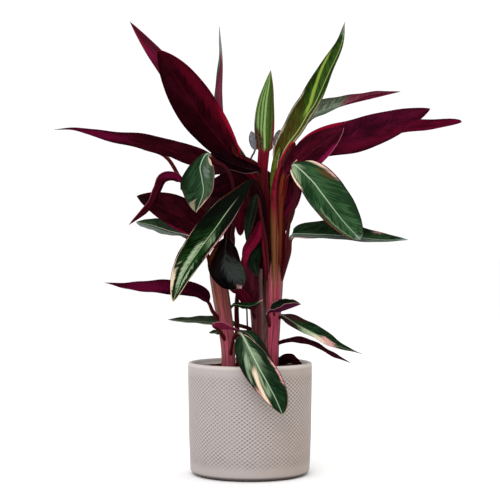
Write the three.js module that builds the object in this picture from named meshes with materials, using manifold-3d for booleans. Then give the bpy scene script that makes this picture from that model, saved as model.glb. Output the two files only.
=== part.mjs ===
// A potted stromanthe triostar: a cylindrical stoneware pot, its soil, four canes and the leaves that
// spring from them. Millimetres, +Z up, with the origin at the centre of the pot's flat foot.

import * as THREE from "three";
import { mergeVertices } from "three/addons/utils/BufferGeometryUtils.js";
import Module from "manifold-3d";

// Clearance kept between pieces that touch.
const GAP = 0.3;

// Pot: a slightly tapered shell with a rounded rim, a rounded lower edge and a small recessed foot.
const POT_HEIGHT = 170.5;
const POT_WALL = 6;
const POT_FLOOR = 8;
const POT_RADII = [
  { height: 10, radius: 91.5 },
  { height: 60, radius: 93.5 },
  { height: 150, radius: 95 },
];
const FOOT_RADIUS = 84;
const FOOT_HEIGHT = 2.2;
const UNDERSIDE_RADIUS = 85.5;
const INNER_CORNER = 10;
const POT_SEGMENTS = 40;
const ARC_STEPS = 4;

// Soil: fills the pot to a little below its rim, and is slightly domed.
const SOIL_EDGE_HEIGHT = 161;
const SOIL_CROWN_HEIGHT = 162.5;
const SOIL_CROWN_RADIUS = 45;

// Leaves and canes: smooth lofts along their routes.
const BLADE_THICKNESS = 1;
const SMALLEST_HALF_WIDTH = 0.6;
const BLADE_SIDES = 8;
const CANE_SIDES = 12;
const STALK_STEP = 34;
const CANE_STEP = 32;
const BLADE_STEP = 27;
const BLADE_STEPS = [4, 8];
const ROUTE_DIVISIONS = 40;
const TANGENT_REACH = 4;
const MIDRIB_TAPER = 1.5;
const FOLD_AT_MIDRIB = 0.35;
const USUAL_LIFT = 12;
const USUAL_PEAK = 0.42;
const USUAL_CUT = 1.4;

const COLOURS = {
  pot: { color: 0xada29b, roughness: 0.42 },
  soil: { color: 0x2a211b, roughness: 1 },
  cane: { color: 0xa03850, roughness: 0.5 },
  leaf: { color: 0x2c4a2e, roughness: 0.45 },
};

// Canes: each point is x, y, z and the cane's radius there, from inside the soil to the top.
const CANES = [
  {
    name: "left_cane",
    stalk: [
      [-32, -30, 139, 11.5], [-33, -28, 191, 12], [-38, -26, 228, 13], [-43, -22, 266, 14],
      [-50, -18, 304, 13.5], [-54, -16, 327, 12],
    ],
  },
  {
    name: "right_cane",
    stalk: [
      [31, 0, 136, 13], [32, 0, 189, 13], [34, 0, 227, 13], [36, 0, 281, 14.5], [38, 0, 314, 14.5],
      [40, 0, 333, 13.5],
    ],
  },
  {
    name: "centre_cane",
    stalk: [
      [14, 34, 133, 8], [12, 34, 194, 8.5], [10, 34, 248, 10.5], [6, 33, 287, 13], [7, 32, 314, 12.5],
      [9, 31, 333, 10.5],
    ],
  },
  {
    name: "back_cane",
    stalk: [[28, 58, 131, 8], [28, 60, 200, 9], [27, 62, 263, 10], [25, 64, 310, 10], [25, 64, 333, 9]],
  },
];

// Leaves, from the left cane to the back one. The stalk's points hold x, y, z and its radius; the last
// one is the foot of the blade, and the blade's points follow the midrib to the tip. face points out of
// the blade's upper side, lift is the angle in degrees by which each half rises from the midrib, peaks are
// the places where the halves are widest, and cut sharpens their ends. Lists of face and lift run from base
// to tip.
const LEAVES = [
  {
    name: "leaf_left_long",
    stalk: [
      [-41, -12, 304, 3.5], [-31, -2, 357, 4], [-25, -4, 414, 4], [-30, -18, 458, 3.5],
      [-54, -30, 474, 3],
    ],
    blade: [[-98, -38, 487], [-150, -50, 499], [-208, -66, 509], [-254, -82, 519], [-287, -90, 519]],
    halfWidths: [22, 27],
    face: [[0, 0.9, 0.45], [0, 0.5, 0.87], [0, 0.42, 0.9], [0, 0.3, 0.95], [0, 0.1, 1]],
    peaks: [0.36, 0.36],
  },
  {
    name: "leaf_left_mid",
    stalk: [[-52, -20, 304, 4], [-49, -15, 342, 4], [-56, -12, 362, 3.5]],
    blade: [[-91, -15, 385], [-132, -18, 407], [-172, -22, 424]],
    halfWidths: [28, 24],
    face: [[0, 0.95, 0.3]],
    peaks: [0.45, 0.45],
    cut: 1.5,
  },
  {
    name: "leaf_left_curl",
    stalk: [[-43, -10, 304, 3], [-51, -3, 357, 3], [-75, -4, 411, 3], [-106, -6, 448, 3]],
    blade: [[-121, -11, 454], [-133, -17, 449], [-140, -24, 432], [-153, -32, 407], [-182, -42, 380]],
    halfWidths: [9, 9],
    face: [[-0.3, 0.8, 0.5], [-0.5, 0.75, 0.4], [-0.7, 0.7, 0.1], [-0.6, 0.8, 0.1]],
    lift: [[20, 20]],
    peaks: [0.3, 0.3],
    cut: 1.1,
  },
  {
    name: "leaf_left_slender",
    stalk: [
      [-47, -6, 304, 3], [-56, 18, 357, 3], [-82, 26, 412, 3], [-107, 22, 451, 3],
      [-130, 18, 486, 3],
    ],
    blade: [[-164, 32, 499], [-198, 48, 510], [-237, 64, 519]],
    halfWidths: [14, 14],
    face: [[0, 0.3, 0.95]],
  },
  {
    name: "leaf_left_back_green",
    stalk: [[-57, -8, 296, 3], [-69, 5, 342, 3], [-102, 18, 364, 3]],
    blade: [[-128, 30, 372], [-152, 42, 380], [-179, 54, 386]],
    halfWidths: [19, 19],
    face: [[0, -0.5, 0.87]],
    peaks: [0.5, 0.5],
  },
  {
    name: "leaf_centre_dark",
    stalk: [[-43, -22, 309, 3], [-36, -38, 339, 3], [-35, -46, 360, 3]],
    blade: [[-37, -64, 339], [-35, -84, 315], [-14, -108, 286]],
    halfWidths: [24, 28],
    face: [[0, -0.85, 0.55]],
    peaks: [0.58, 0.66],
    cut: 1.2,
  },
  {
    name: "leaf_left_droop_small",
    stalk: [
      [-38, -22, 304, 3], [-28, -14, 357, 3], [-22, -15, 414, 3], [-32, -36, 460, 3],
      [-51, -48, 475, 3], [-64, -54, 485, 3],
    ],
    blade: [[-74, -62, 467], [-71, -74, 446], [-69, -84, 426], [-79, -92, 397]],
    halfWidths: [22, 34],
    face: [[-0.1, -0.95, 0.3]],
    lift: [[15, 80], [15, 72], [15, 10], [15, 5], [15, 5]],
    peaks: [0.34, 0.6],
    cut: 1.9,
  },
  {
    name: "leaf_left_low",
    stalk: [[-44, -28, 233, 3.5], [-56, -38, 249, 3], [-63, -42, 264, 2.5]],
    blade: [[-79, -50, 278], [-116, -62, 284], [-163, -78, 286], [-213, -94, 294]],
    halfWidths: [20, 20],
    face: [[0, 0.6, 0.8]],
    peaks: [0.34, 0.34],
    cut: 1.7,
  },
  {
    name: "leaf_inner_small",
    stalk: [[-36, -24, 239, 2.5], [-27, -20, 257, 2.2]],
    blade: [[-11, -18, 257], [3, -16, 257], [20, -14, 266]],
    halfWidths: [9, 9],
    face: [[0, -0.5, 0.85]],
  },
  {
    name: "leaf_over_rim",
    stalk: [[-30, -30, 179, 2.5], [-27, -54, 200, 2.5], [-22, -70, 216, 2.5], [-13, -84, 218, 2.5]],
    blade: [[0, -104, 196], [13, -114, 171], [26, -120, 148], [38, -123, 125], [47, -125, 104]],
    halfWidths: [23, 25],
    face: [[0.05, -1, 0.2]],
    lift: [[8, 8]],
    peaks: [0.6, 0.4],
  },
  {
    name: "leaf_over_rim_back",
    stalk: [[-33, -30, 198, 3], [-47, -46, 222, 3], [-55, -54, 230, 3]],
    blade: [[-27, -64, 225], [-1, -78, 216], [19, -93, 189], [39, -101, 167]],
    halfWidths: [13, 13],
    face: [[0, 0.75, 0.6], [0, 0.2, 0.9], [0.3, -0.9, 0.5], [0.3, -1, 0.2]],
  },
  {
    name: "leaf_centre_young",
    stalk: [[28, 2, 311, 5], [27, 5, 357, 5.5], [24, 6, 411, 7], [20, 5, 457, 7], [22, 3, 499, 8.5]],
    blade: [[22, 3, 534], [24, 4, 565], [28, 6, 591], [32, 8, 619]],
    halfWidths: [17, 17],
    face: [[0, -1, 0]],
    lift: [[40, 40]],
    peaks: [0.35, 0.35],
    baseWidth: 14,
  },
  {
    name: "leaf_right_tall",
    stalk: [[38, 7, 311, 5], [38, 9, 360, 4.5], [38, 8, 411, 4], [39, 6, 450, 4], [43, 5, 471, 4]],
    blade: [
      [55, 8, 499], [75, 13, 527], [89, 18, 551], [103, 24, 573], [123, 34, 618], [143, 44, 663],
      [149, 50, 700],
    ],
    halfWidths: [26, 22],
    face: [[-0.57, -0.82, 0]],
    lift: [[35, 42]],
    peaks: [0.37, 0.37],
    cut: 1.5,
  },
  {
    name: "leaf_right_great",
    stalk: [[38, -5, 311, 5], [38, -7, 360, 5], [43, -9, 411, 5.5], [52, -9, 449, 6], [61, -8, 473, 5]],
    blade: [[103, -24, 501], [155, -46, 512], [213, -72, 530], [264, -96, 549]],
    halfWidths: [31, 27],
    face: [[0, 0.85, 0.5]],
    peaks: [0.45, 0.45],
  },
  {
    name: "leaf_right_short",
    stalk: [
      [46, -6, 311, 4], [47, -12, 360, 4], [47, -20, 406, 4.5], [50, -22, 436, 5],
      [55, -24, 459, 5],
    ],
    blade: [[78, -36, 478], [108, -50, 501], [140, -62, 524]],
    halfWidths: [23, 23],
    face: [[0.25, 0.85, 0.3]],
    lift: [[5, 15]],
  },
  {
    name: "leaf_back_twisted",
    stalk: [[42, 15, 311, 4], [42, 25, 365, 4], [53, 44, 444, 3.5], [76, 66, 538, 3.5]],
    blade: [[111, 80, 562], [152, 94, 575], [198, 110, 587], [244, 124, 599]],
    halfWidths: [18, 21],
    face: [[0, -0.45, 0.9]],
    lift: [[30, 0], [50, 30], [60, 80]],
    peaks: [0.27, 0.27],
    cut: 1.1,
  },
  {
    name: "leaf_right_behind",
    stalk: [[49, 9, 311, 4], [50, 18, 365, 4], [56, 30, 423, 4], [78, 42, 488, 3.5]],
    blade: [[150, 58, 511], [231, 78, 531], [296, 94, 541], [341, 106, 548]],
    halfWidths: [20, 20],
    face: [[0, 0.45, 0.9]],
    peaks: [0.6, 0.6],
    cut: 1.2,
  },
  {
    name: "leaf_right_droop",
    stalk: [
      [52, -4, 311, 3], [56, -12, 357, 3], [62, -16, 395, 2.4], [70, -22, 430, 2.2],
      [65, -36, 469, 3],
    ],
    blade: [[91, -54, 447], [108, -68, 424], [137, -82, 385], [162, -90, 357]],
    halfWidths: [36, 29],
    face: [[0.25, -1, 0.35]],
    lift: [[10, 10]],
    peaks: [0.45, 0.45],
    cut: 1,
  },
  {
    name: "leaf_right_flat",
    stalk: [[47, -4, 296, 4], [58, -20, 336, 4.5], [65, -26, 363, 3.5]],
    blade: [[105, -40, 365], [149, -56, 362], [193, -70, 357], [233, -82, 357]],
    halfWidths: [26, 24],
    face: [[0, -0.6, 0.8]],
    lift: [[23, 23]],
    peaks: [0.27, 0.34],
    cut: 1.2,
  },
  {
    name: "leaf_front_droop",
    stalk: [
      [28, -7, 311, 4], [24, -12, 365, 4], [20, -16, 411, 4.5], [12, -22, 436, 4.5],
      [2, -30, 446, 4],
    ],
    blade: [
      [-12, -46, 428], [-33, -66, 400], [-53, -86, 371], [-74, -105, 342], [-96, -122, 307],
      [-111, -133, 267],
    ],
    halfWidths: [18, 27],
    face: [[-0.1, -0.9, 0.5]],
    lift: [[8, 8]],
    peaks: [0.52, 0.5],
    cut: 1.5,
  },
  {
    name: "leaf_right_under",
    stalk: [[53, 1, 324, 3], [52, 2, 393, 3]],
    blade: [[61, 0, 414], [69, 0, 436], [78, 0, 463]],
    halfWidths: [13, 13],
    face: [[0.1, 1, 0.1]],
  },
  {
    name: "leaf_right_low_folded",
    stalk: [[32, -3, 218, 3], [27, -30, 247, 3]],
    blade: [[44, -43, 250], [60, -52, 255], [76, -60, 261]],
    halfWidths: [19, 19],
    face: [[0, -0.42, 0.9]],
    lift: [[52, 50]],
  },
  {
    name: "leaf_right_low_green",
    stalk: [[35, 2, 219, 3.5], [47, -8, 240, 3.5]],
    blade: [[76, -20, 226], [103, -32, 213], [128, -44, 199], [167, -60, 187]],
    halfWidths: [16, 14],
    face: [[0.2, -0.68, 0.73]],
    lift: [[16, 16]],
    peaks: [0.33, 0.33],
    cut: 1.9,
    baseWidth: 6,
  },
  {
    name: "leaf_right_low_narrow",
    stalk: [[34, 0, 186, 3], [43, -2, 199, 3]],
    blade: [[72, -5, 203], [99, -8, 196], [125, -10, 182], [153, -12, 170]],
    halfWidths: [12, 12],
    face: [[0, 0.42, 0.9]],
    peaks: [0.36, 0.36],
  },
  {
    name: "leaf_centre_hanging",
    stalk: [[29, -8, 304, 2.5], [24, -22, 356, 2.2], [17, -30, 396, 2], [11, -34, 424, 2]],
    blade: [[3, -38, 402], [-2, -40, 378], [-5, -42, 353]],
    halfWidths: [8, 8],
    face: [[-0.2, -1, 0.1]],
  },
  {
    name: "leaf_centre_red",
    stalk: [[26, -8, 296, 2.5], [20, -18, 350, 2.5], [18, -20, 386, 2.5]],
    blade: [[9, -24, 363], [-5, -28, 342], [-9, -30, 315]],
    halfWidths: [9, 9],
    face: [[0.2, 0.9, -0.3]],
  },
  {
    name: "leaf_upper_left_great",
    stalk: [
      [11, 24, 311, 4.5], [17, 20, 365, 4.5], [19, 20, 415, 4.5], [11, 17, 444, 4.5],
      [-12, -2, 469, 4],
    ],
    blade: [[-56, -28, 522], [-78, -48, 549], [-109, -75, 595], [-136, -95, 635]],
    halfWidths: [33, 32],
    face: [[0.1, 1, 0.15]],
    peaks: [0.54, 0.48],
    cut: 1.55,
  },
  {
    name: "leaf_centre_dark_back",
    stalk: [[19, 22, 314, 3.5], [20, -2, 380, 3.5], [18, -12, 434, 4], [14, -24, 462, 3.5]],
    blade: [[-6, -31, 466], [-29, -38, 474], [-59, -46, 487]],
    halfWidths: [12, 12],
    face: [[0, 0.9, 0.4]],
    peaks: [0.55, 0.55],
    cut: 1.1,
  },
  {
    name: "leaf_centre_under",
    stalk: [
      [5, 33, 311, 3.5], [12, 32, 373, 3.5], [19, 31, 415, 3.5], [16, 28, 441, 3.5],
      [3, 14, 453, 3.5],
    ],
    blade: [[-15, 4, 448], [-38, -8, 440], [-76, -20, 427]],
    halfWidths: [20, 20],
    face: [[0, 0.9, 0.4]],
  },
  {
    name: "leaf_front_droop_back",
    stalk: [[0, 22, 311, 3.5], [2, 12, 370, 3.5], [-2, 0, 406, 3.5], [-6, -16, 438, 3]],
    blade: [[-29, -36, 404], [-64, -58, 364], [-96, -76, 333], [-115, -90, 294]],
    halfWidths: [17, 17],
    face: [[-0.2, -0.9, 0.45]],
    cut: 1.3,
  },
  {
    name: "leaf_centre_red_back",
    stalk: [
      [-17, 4, 150, 3.4], [-20, 6, 227, 3.8], [-20, 8, 265, 3.4], [-12, 12, 323, 2.4],
      [2, 12, 381, 2.2], [0, 10, 413, 2],
    ],
    blade: [[-11, 12, 401], [-15, 14, 385], [-15, 15, 364]],
    halfWidths: [9, 9],
    face: [[0.1, 1, -0.1]],
    cut: 0.8,
  },
  {
    name: "leaf_centre_low_green",
    stalk: [[9, 20, 308, 2.5], [17, 3, 345, 2.5]],
    blade: [[9, 1, 333], [6, 1, 321], [12, 3, 302]],
    halfWidths: [9, 9],
    face: [[-0.2, -1, 0.2]],
    cut: 1,
  },
  {
    name: "leaf_upper_left_behind",
    stalk: [[21, 62, 310, 4], [9, 50, 366, 4], [0, 44, 428, 4], [-22, 38, 483, 3.5]],
    blade: [[-74, 44, 542], [-119, 52, 611], [-161, 60, 665], [-190, 66, 703]],
    halfWidths: [18, 18],
    face: [[0, 1, 0.2]],
    cut: 1.5,
  },
  {
    name: "leaf_top_narrow",
    stalk: [[25, 60, 310, 4], [19, 56, 381, 4], [-3, 56, 436, 4], [-27, 54, 491, 3]],
    blade: [[-41, 62, 539], [-45, 72, 588], [-44, 84, 645], [-49, 96, 700]],
    halfWidths: [22, 22],
    face: [[-1, 0.05, 0]],
    lift: [[38, 24], [46, 24], [30, 15], [25, 10]],
  },
  {
    name: "leaf_back_spoon_left",
    stalk: [
      [17, 66, 310, 2.5], [8, 68, 366, 2], [-1, 66, 421, 1.8], [0, 62, 479, 1.5], [8, 62, 500, 1.5],
    ],
    blade: [[5, 63, 516], [2, 65, 530]],
    halfWidths: [7, 7],
    face: [[-0.2, -1, 0.2]],
    cut: 1.1,
  },
  {
    name: "leaf_back_spoon_right",
    stalk: [[32, 66, 310, 2.5], [41, 62, 421, 1.8], [43, 60, 500, 1.5]],
    blade: [[44, 62, 516], [47, 64, 532]],
    halfWidths: [8, 8],
    face: [[0.2, -1, 0.2]],
    cut: 1.1,
  },
  {
    name: "leaf_left_low_green",
    stalk: [[25, 60, 192, 3], [8, 44, 214, 3], [-19, 32, 225, 3]],
    blade: [[-55, 42, 228], [-91, 52, 230], [-129, 62, 232]],
    halfWidths: [19, 19],
    face: [[0, -0.3, 0.95]],
  },
  {
    name: "leaf_left_low_tiny",
    stalk: [[12, 30, 186, 2.5], [-12, 14, 206, 2.5], [-34, 8, 216, 2.2]],
    blade: [[-48, 2, 216], [-63, -3, 215]],
    halfWidths: [6, 6],
    face: [[0, -0.7, 0.7]],
  },
  {
    name: "leaf_soil_round",
    stalk: [[28, 52, 150, 2.5], [44, 40, 164, 2.5]],
    blade: [[53, 30, 171], [64, 22, 173], [80, 12, 166]],
    halfWidths: [9, 9],
    face: [[0, 0.9, 0.4]],
  },
  {
    name: "leaf_back_right_fall",
    stalk: [[33, 65, 310, 3.5], [49, 76, 382, 3.5], [57, 84, 422, 3.5], [79, 100, 448, 3.5]],
    blade: [[101, 132, 446], [124, 165, 425], [140, 190, 392]],
    halfWidths: [20, 20],
    face: [[0, -0.1, 1]],
  },
  {
    name: "leaf_back_left_fall",
    stalk: [[21, 70, 310, 3.5], [0, 84, 366, 3.5], [-19, 100, 398, 3.5]],
    blade: [[-41, 130, 410], [-69, 165, 402], [-87, 190, 379]],
    halfWidths: [24, 24],
    face: [[0, -0.1, 1]],
  },
  {
    name: "leaf_back_left_rise",
    stalk: [[24, 70, 287, 3.5], [25, 77, 382, 3.5], [19, 82, 438, 3.5], [-5, 90, 480, 3.5]],
    blade: [[-40, 110, 516], [-74, 138, 561], [-103, 170, 594]],
    halfWidths: [15, 15],
    face: [[-0.2, -0.5, 0.8]],
  },
  {
    name: "leaf_back_right_rise",
    stalk: [[27, 72, 286, 3.5], [35, 90, 390, 3.5], [58, 106, 471, 3.5]],
    blade: [[101, 128, 505], [155, 152, 526], [213, 176, 541]],
    halfWidths: [20, 20],
    face: [[-0.1, 0.1, 0.95]],
  },
  {
    name: "leaf_back_low",
    stalk: [[27, 68, 247, 3], [26, 86, 278, 3]],
    blade: [[26, 112, 287], [26, 145, 273], [25, 172, 239]],
    halfWidths: [22, 22],
    face: [[0, -0.1, 1]],
  },
  {
    name: "leaf_inner_red",
    stalk: [[0, 8, 149, 1.4], [-4, 8, 225, 1.3], [-5, 6, 251, 1.2]],
    blade: [[-8, 2, 267], [-17, -1, 277], [-32, -4, 282]],
    halfWidths: [9, 9],
    face: [[0, 0.8, 0.5]],
  },
];

const wasm = await Module();
wasm.setup();

/** The value at t (0 to 1) along a list of evenly spaced number lists. */
function valueAlong(list, t) {
  const place = t * (list.length - 1);
  const index = Math.floor(Math.min(place, Math.max(list.length - 2, 0)));
  const next = list[Math.min(index + 1, list.length - 1)];
  return list[index].map((value, k) => THREE.MathUtils.lerp(value, next[k], place - index));
}

/** Half a blade's width at t, from 0 at its base and tip to 1 where it is widest. */
function bladeOutline(t, peak, cut) {
  const rise = cut * peak;
  const fall = cut * (1 - peak);
  const highest = peak ** rise * (1 - peak) ** fall;
  return t > 0 ? (t ** rise * (1 - t) ** fall) / highest : 0;
}

/** A closed manifold solid from a three.js geometry. */
function solidOf(geometry) {
  geometry.deleteAttribute("normal");
  geometry.deleteAttribute("uv");
  const merged = mergeVertices(geometry);
  const mesh = new wasm.Mesh({
    numProp: 3,
    vertProperties: Float32Array.from(merged.getAttribute("position").array),
    triVerts: Uint32Array.from(merged.getIndex().array),
  });
  return new wasm.Manifold(mesh);
}

/** A three.js geometry from a manifold solid. */
function geometryOf(solid) {
  const mesh = solid.getMesh();
  const geometry = new THREE.BufferGeometry();
  geometry.setAttribute("position", new THREE.BufferAttribute(mesh.vertProperties, 3));
  geometry.setIndex(new THREE.BufferAttribute(mesh.triVerts, 1));
  geometry.computeVertexNormals();
  return geometry;
}

/** A leaf with its stalk, or a bare cane: a route in space and a cross-section that follows it. */
class Shoot {
  constructor(shape, sides, stalkStep) {
    this.shape = { blade: [], halfWidths: [0, 0], face: [[0, -1, 0]], ...shape };
    this.sides = sides;
    const points = [...this.shape.stalk, ...this.shape.blade];
    this.route = new THREE.CatmullRomCurve3(
      points.map(([x, y, z]) => new THREE.Vector3(x, y, z)),
      false,
      "catmullrom",
      0.5,
    );
    this.route.arcLengthDivisions = (points.length - 1) * ROUTE_DIVISIONS;
    const lengths = this.route.getLengths();
    this.length = lengths.at(-1);
    this.knots = this.shape.stalk.map((point, k) => lengths[k * ROUTE_DIVISIONS]);
    this.stalkLength = this.knots.at(-1);
    this.stations = this.stationsFor(stalkStep);
  }

  /** Distances along the route at which the loft has a cross-section. */
  stationsFor(stalkStep) {
    const bladeLength = this.length - this.stalkLength;
    const stalkSteps = Math.max(1, Math.round(this.stalkLength / stalkStep));
    const stations = [];
    for (let k = 0; k <= stalkSteps; k += 1) {
      stations.push((this.stalkLength * k) / stalkSteps);
    }
    if (bladeLength > 0) {
      const bladeSteps = THREE.MathUtils.clamp(Math.round(bladeLength / BLADE_STEP), ...BLADE_STEPS);
      for (let k = 1; k <= bladeSteps; k += 1) {
        stations.push(this.stalkLength + (bladeLength * k) / bladeSteps);
      }
    }
    return stations;
  }

  pointAt(distance) {
    return this.route.getPointAt(THREE.MathUtils.clamp(distance / this.length, 0, 1));
  }

  /** How far along the blade a distance lies, from 0 at its base to 1 at its tip. */
  bladePlace(distance) {
    const bladeLength = this.length - this.stalkLength;
    return bladeLength > 0 ? THREE.MathUtils.clamp((distance - this.stalkLength) / bladeLength, 0, 1) : 0;
  }

  /** The stalk's radius, which thins to nothing along the blade as its midrib. */
  radiusAt(distance) {
    const radii = this.shape.stalk.map((point) => point[3]);
    if (distance >= this.stalkLength) {
      return radii.at(-1) * (1 - this.bladePlace(distance)) ** MIDRIB_TAPER;
    }
    const next = this.knots.findIndex((knot) => knot > distance);
    const part = (distance - this.knots[next - 1]) / (this.knots[next] - this.knots[next - 1]);
    return THREE.MathUtils.lerp(radii[next - 1], radii[next], part);
  }

  /** A function from a unit circle's two coordinates to the cross-section's points in space. */
  sectionAt(distance, grow) {
    const { face, halfWidths, cut = USUAL_CUT, baseWidth = 0 } = this.shape;
    const { peaks = [USUAL_PEAK, USUAL_PEAK] } = this.shape;
    const { lift = [[USUAL_LIFT, USUAL_LIFT]] } = this.shape;
    const t = this.bladePlace(distance);
    const radius = this.radiusAt(distance);
    const tangent = this.pointAt(distance + TANGENT_REACH).sub(this.pointAt(distance - TANGENT_REACH));
    tangent.normalize();
    const normal = new THREE.Vector3(...valueAlong(face, t)).projectOnPlane(tangent).normalize();
    const side = new THREE.Vector3().crossVectors(tangent, normal);
    const sheath = distance >= this.stalkLength ? baseWidth * (1 - t) : 0;
    const widths = halfWidths.map((halfWidth, half) => {
      const blade = Math.hypot(radius, halfWidth * bladeOutline(t, peaks[half], cut));
      return Math.max(blade, sheath, SMALLEST_HALF_WIDTH) + grow;
    });
    const lifts = valueAlong(lift, t).map(THREE.MathUtils.degToRad);
    const thickness = Math.max(radius, BLADE_THICKNESS / 2) + grow;
    const end = distance <= 0 ? -grow : distance >= this.length ? grow : 0;
    const centre = this.pointAt(distance).addScaledVector(tangent, end);
    return (across, through) => {
      const half = across < 0 ? 0 : 1;
      const out = widths[half] * Math.abs(across);
      const flatness = Math.max(1 - radius / widths[half], 0);
      const fold = THREE.MathUtils.lerp(FOLD_AT_MIDRIB, 1, Math.abs(across));
      const angle = lifts[half] * fold * flatness;
      return centre
        .clone()
        .addScaledVector(side, Math.sign(across) * out * Math.cos(angle))
        .addScaledVector(normal, out * Math.sin(angle) + through * thickness);
    };
  }

  /** The loft, with every surface moved out by grow: a cylinder bent and flattened onto the route. */
  solid(grow = 0) {
    const steps = this.stations.length - 1;
    const sections = this.stations.map((distance) => this.sectionAt(distance, grow));
    const blank = new THREE.CylinderGeometry(1, 1, 1, this.sides, steps);
    const position = blank.getAttribute("position");
    for (let k = 0; k < position.count; k += 1) {
      const section = sections[Math.round((position.getY(k) + 0.5) * steps)];
      const point = section(position.getX(k), position.getZ(k));
      position.setXYZ(k, point.x, point.y, point.z);
    }
    return solidOf(blank);
  }
}

/** True if two solids' boxes meet. */
function boxesMeet(one, other) {
  const a = one.boundingBox();
  const b = other.boundingBox();
  return [0, 1, 2].every((axis) => a.min[axis] < b.max[axis] && b.min[axis] < a.max[axis]);
}

/** The largest piece of a solid that is left when its grown neighbours are cut away. */
function cutClear(solid, neighbours) {
  const near = neighbours.filter((neighbour) => boxesMeet(solid, neighbour));
  const rest = near.reduce((left, neighbour) => left.subtract(neighbour), solid);
  return rest.decompose().reduce((best, piece) => (piece.volume() > best.volume() ? piece : best));
}

/** Points of an elliptical arc between two angles in degrees, without its first point. */
function arcPoints(centreX, centreY, radiusX, radiusY, from, to) {
  const curve = new THREE.EllipseCurve(
    centreX,
    centreY,
    radiusX,
    radiusY,
    THREE.MathUtils.degToRad(from),
    THREE.MathUtils.degToRad(to),
    to < from,
  );
  return curve.getPoints(ARC_STEPS).slice(1);
}

/** The pot's inner radius at a height, or less by the given inset. */
function innerRadius(height, inset = 0) {
  const radii = POT_RADII;
  const upper = radii.findIndex((level) => level.height > height);
  const index = upper < 0 ? radii.length - 1 : Math.max(upper, 1);
  const below = radii[index - 1];
  const above = radii[index];
  const part = THREE.MathUtils.clamp((height - below.height) / (above.height - below.height), 0, 1);
  return THREE.MathUtils.lerp(below.radius, above.radius, part) - POT_WALL - inset;
}

/** The hollow's outline from the axis up to the top of its lower corner, moved in by an inset. */
function hollowOutline(inset) {
  const cornerTop = POT_FLOOR + INNER_CORNER;
  const cornerRadius = INNER_CORNER - inset;
  const centreX = innerRadius(cornerTop) - INNER_CORNER;
  return [
    new THREE.Vector2(0, POT_FLOOR + inset),
    new THREE.Vector2(centreX, POT_FLOOR + inset),
    ...arcPoints(centreX, cornerTop, cornerRadius, cornerRadius, 270, 360),
  ];
}

/** A profile turned about the vertical axis; x is the radius and y the height. */
function turned(profile) {
  const lathe = new THREE.LatheGeometry(profile, POT_SEGMENTS);
  lathe.rotateX(Math.PI / 2);
  return lathe;
}

function potGeometry() {
  const rimRadius = POT_WALL / 2;
  const rimHeight = POT_HEIGHT - rimRadius;
  const topRadius = POT_RADII.at(-1).radius;
  const lowest = POT_RADII[0];
  const edgeRise = lowest.height - FOOT_HEIGHT;
  const edgeRun = lowest.radius - UNDERSIDE_RADIUS;
  const levels = POT_RADII.slice(1);
  const profile = [
    new THREE.Vector2(0, 0),
    new THREE.Vector2(FOOT_RADIUS, 0),
    new THREE.Vector2(FOOT_RADIUS, FOOT_HEIGHT),
    new THREE.Vector2(UNDERSIDE_RADIUS, FOOT_HEIGHT),
    ...arcPoints(UNDERSIDE_RADIUS, lowest.height, edgeRun, edgeRise, 270, 360),
    ...levels.map((level) => new THREE.Vector2(level.radius, level.height)),
    new THREE.Vector2(topRadius, rimHeight),
    ...arcPoints(topRadius - rimRadius, rimHeight, rimRadius, rimRadius, 0, 180),
    ...[...levels].reverse().map(({ height }) => new THREE.Vector2(innerRadius(height), height)),
    ...hollowOutline(0).reverse(),
  ];
  return turned(profile);
}

function soilGeometry() {
  const profile = [
    ...hollowOutline(GAP),
    ...[POT_RADII[1].height, POT_RADII[2].height, SOIL_EDGE_HEIGHT].map((height) => {
      return new THREE.Vector2(innerRadius(height, GAP), height);
    }),
    new THREE.Vector2(SOIL_CROWN_RADIUS, SOIL_CROWN_HEIGHT),
    new THREE.Vector2(0, SOIL_CROWN_HEIGHT),
  ];
  return turned(profile);
}

/** A named mesh with a material of its own. */
function namedMesh(name, geometry, look) {
  const material = new THREE.MeshStandardMaterial({ ...look, metalness: 0 });
  const mesh = new THREE.Mesh(geometry, material);
  mesh.name = name;
  return mesh;
}

const plant = new THREE.Group();
plant.add(namedMesh("pot", potGeometry(), COLOURS.pot));

// Canes first, then each leaf, cut clear of all that was placed before it.
const grown = [];
function place(shape, sides, stalkStep, look) {
  const shoot = new Shoot(shape, sides, stalkStep);
  const solid = cutClear(shoot.solid(), grown);
  grown.push(shoot.solid(GAP));
  plant.add(namedMesh(shape.name, geometryOf(solid), look));
}

for (const cane of CANES) {
  place(cane, CANE_SIDES, CANE_STEP, COLOURS.cane);
}
for (const leaf of LEAVES) {
  place(leaf, BLADE_SIDES, STALK_STEP, COLOURS.leaf);
}

// The soil closes round everything that is rooted in it.
const soil = cutClear(solidOf(soilGeometry()), grown);
plant.add(namedMesh("potting_soil", geometryOf(soil), COLOURS.soil));

export default plant;
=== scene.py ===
"""The looks of a potted stromanthe triostar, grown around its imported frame.

Lengths are in millimetres until a mesh is made, which is in metres. +X is the plant's right, -Y its front
and +Z up, with the origin at the centre of the pot's flat foot.
"""

import logging
import math
from dataclasses import dataclass, field, replace
from enum import Enum

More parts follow.
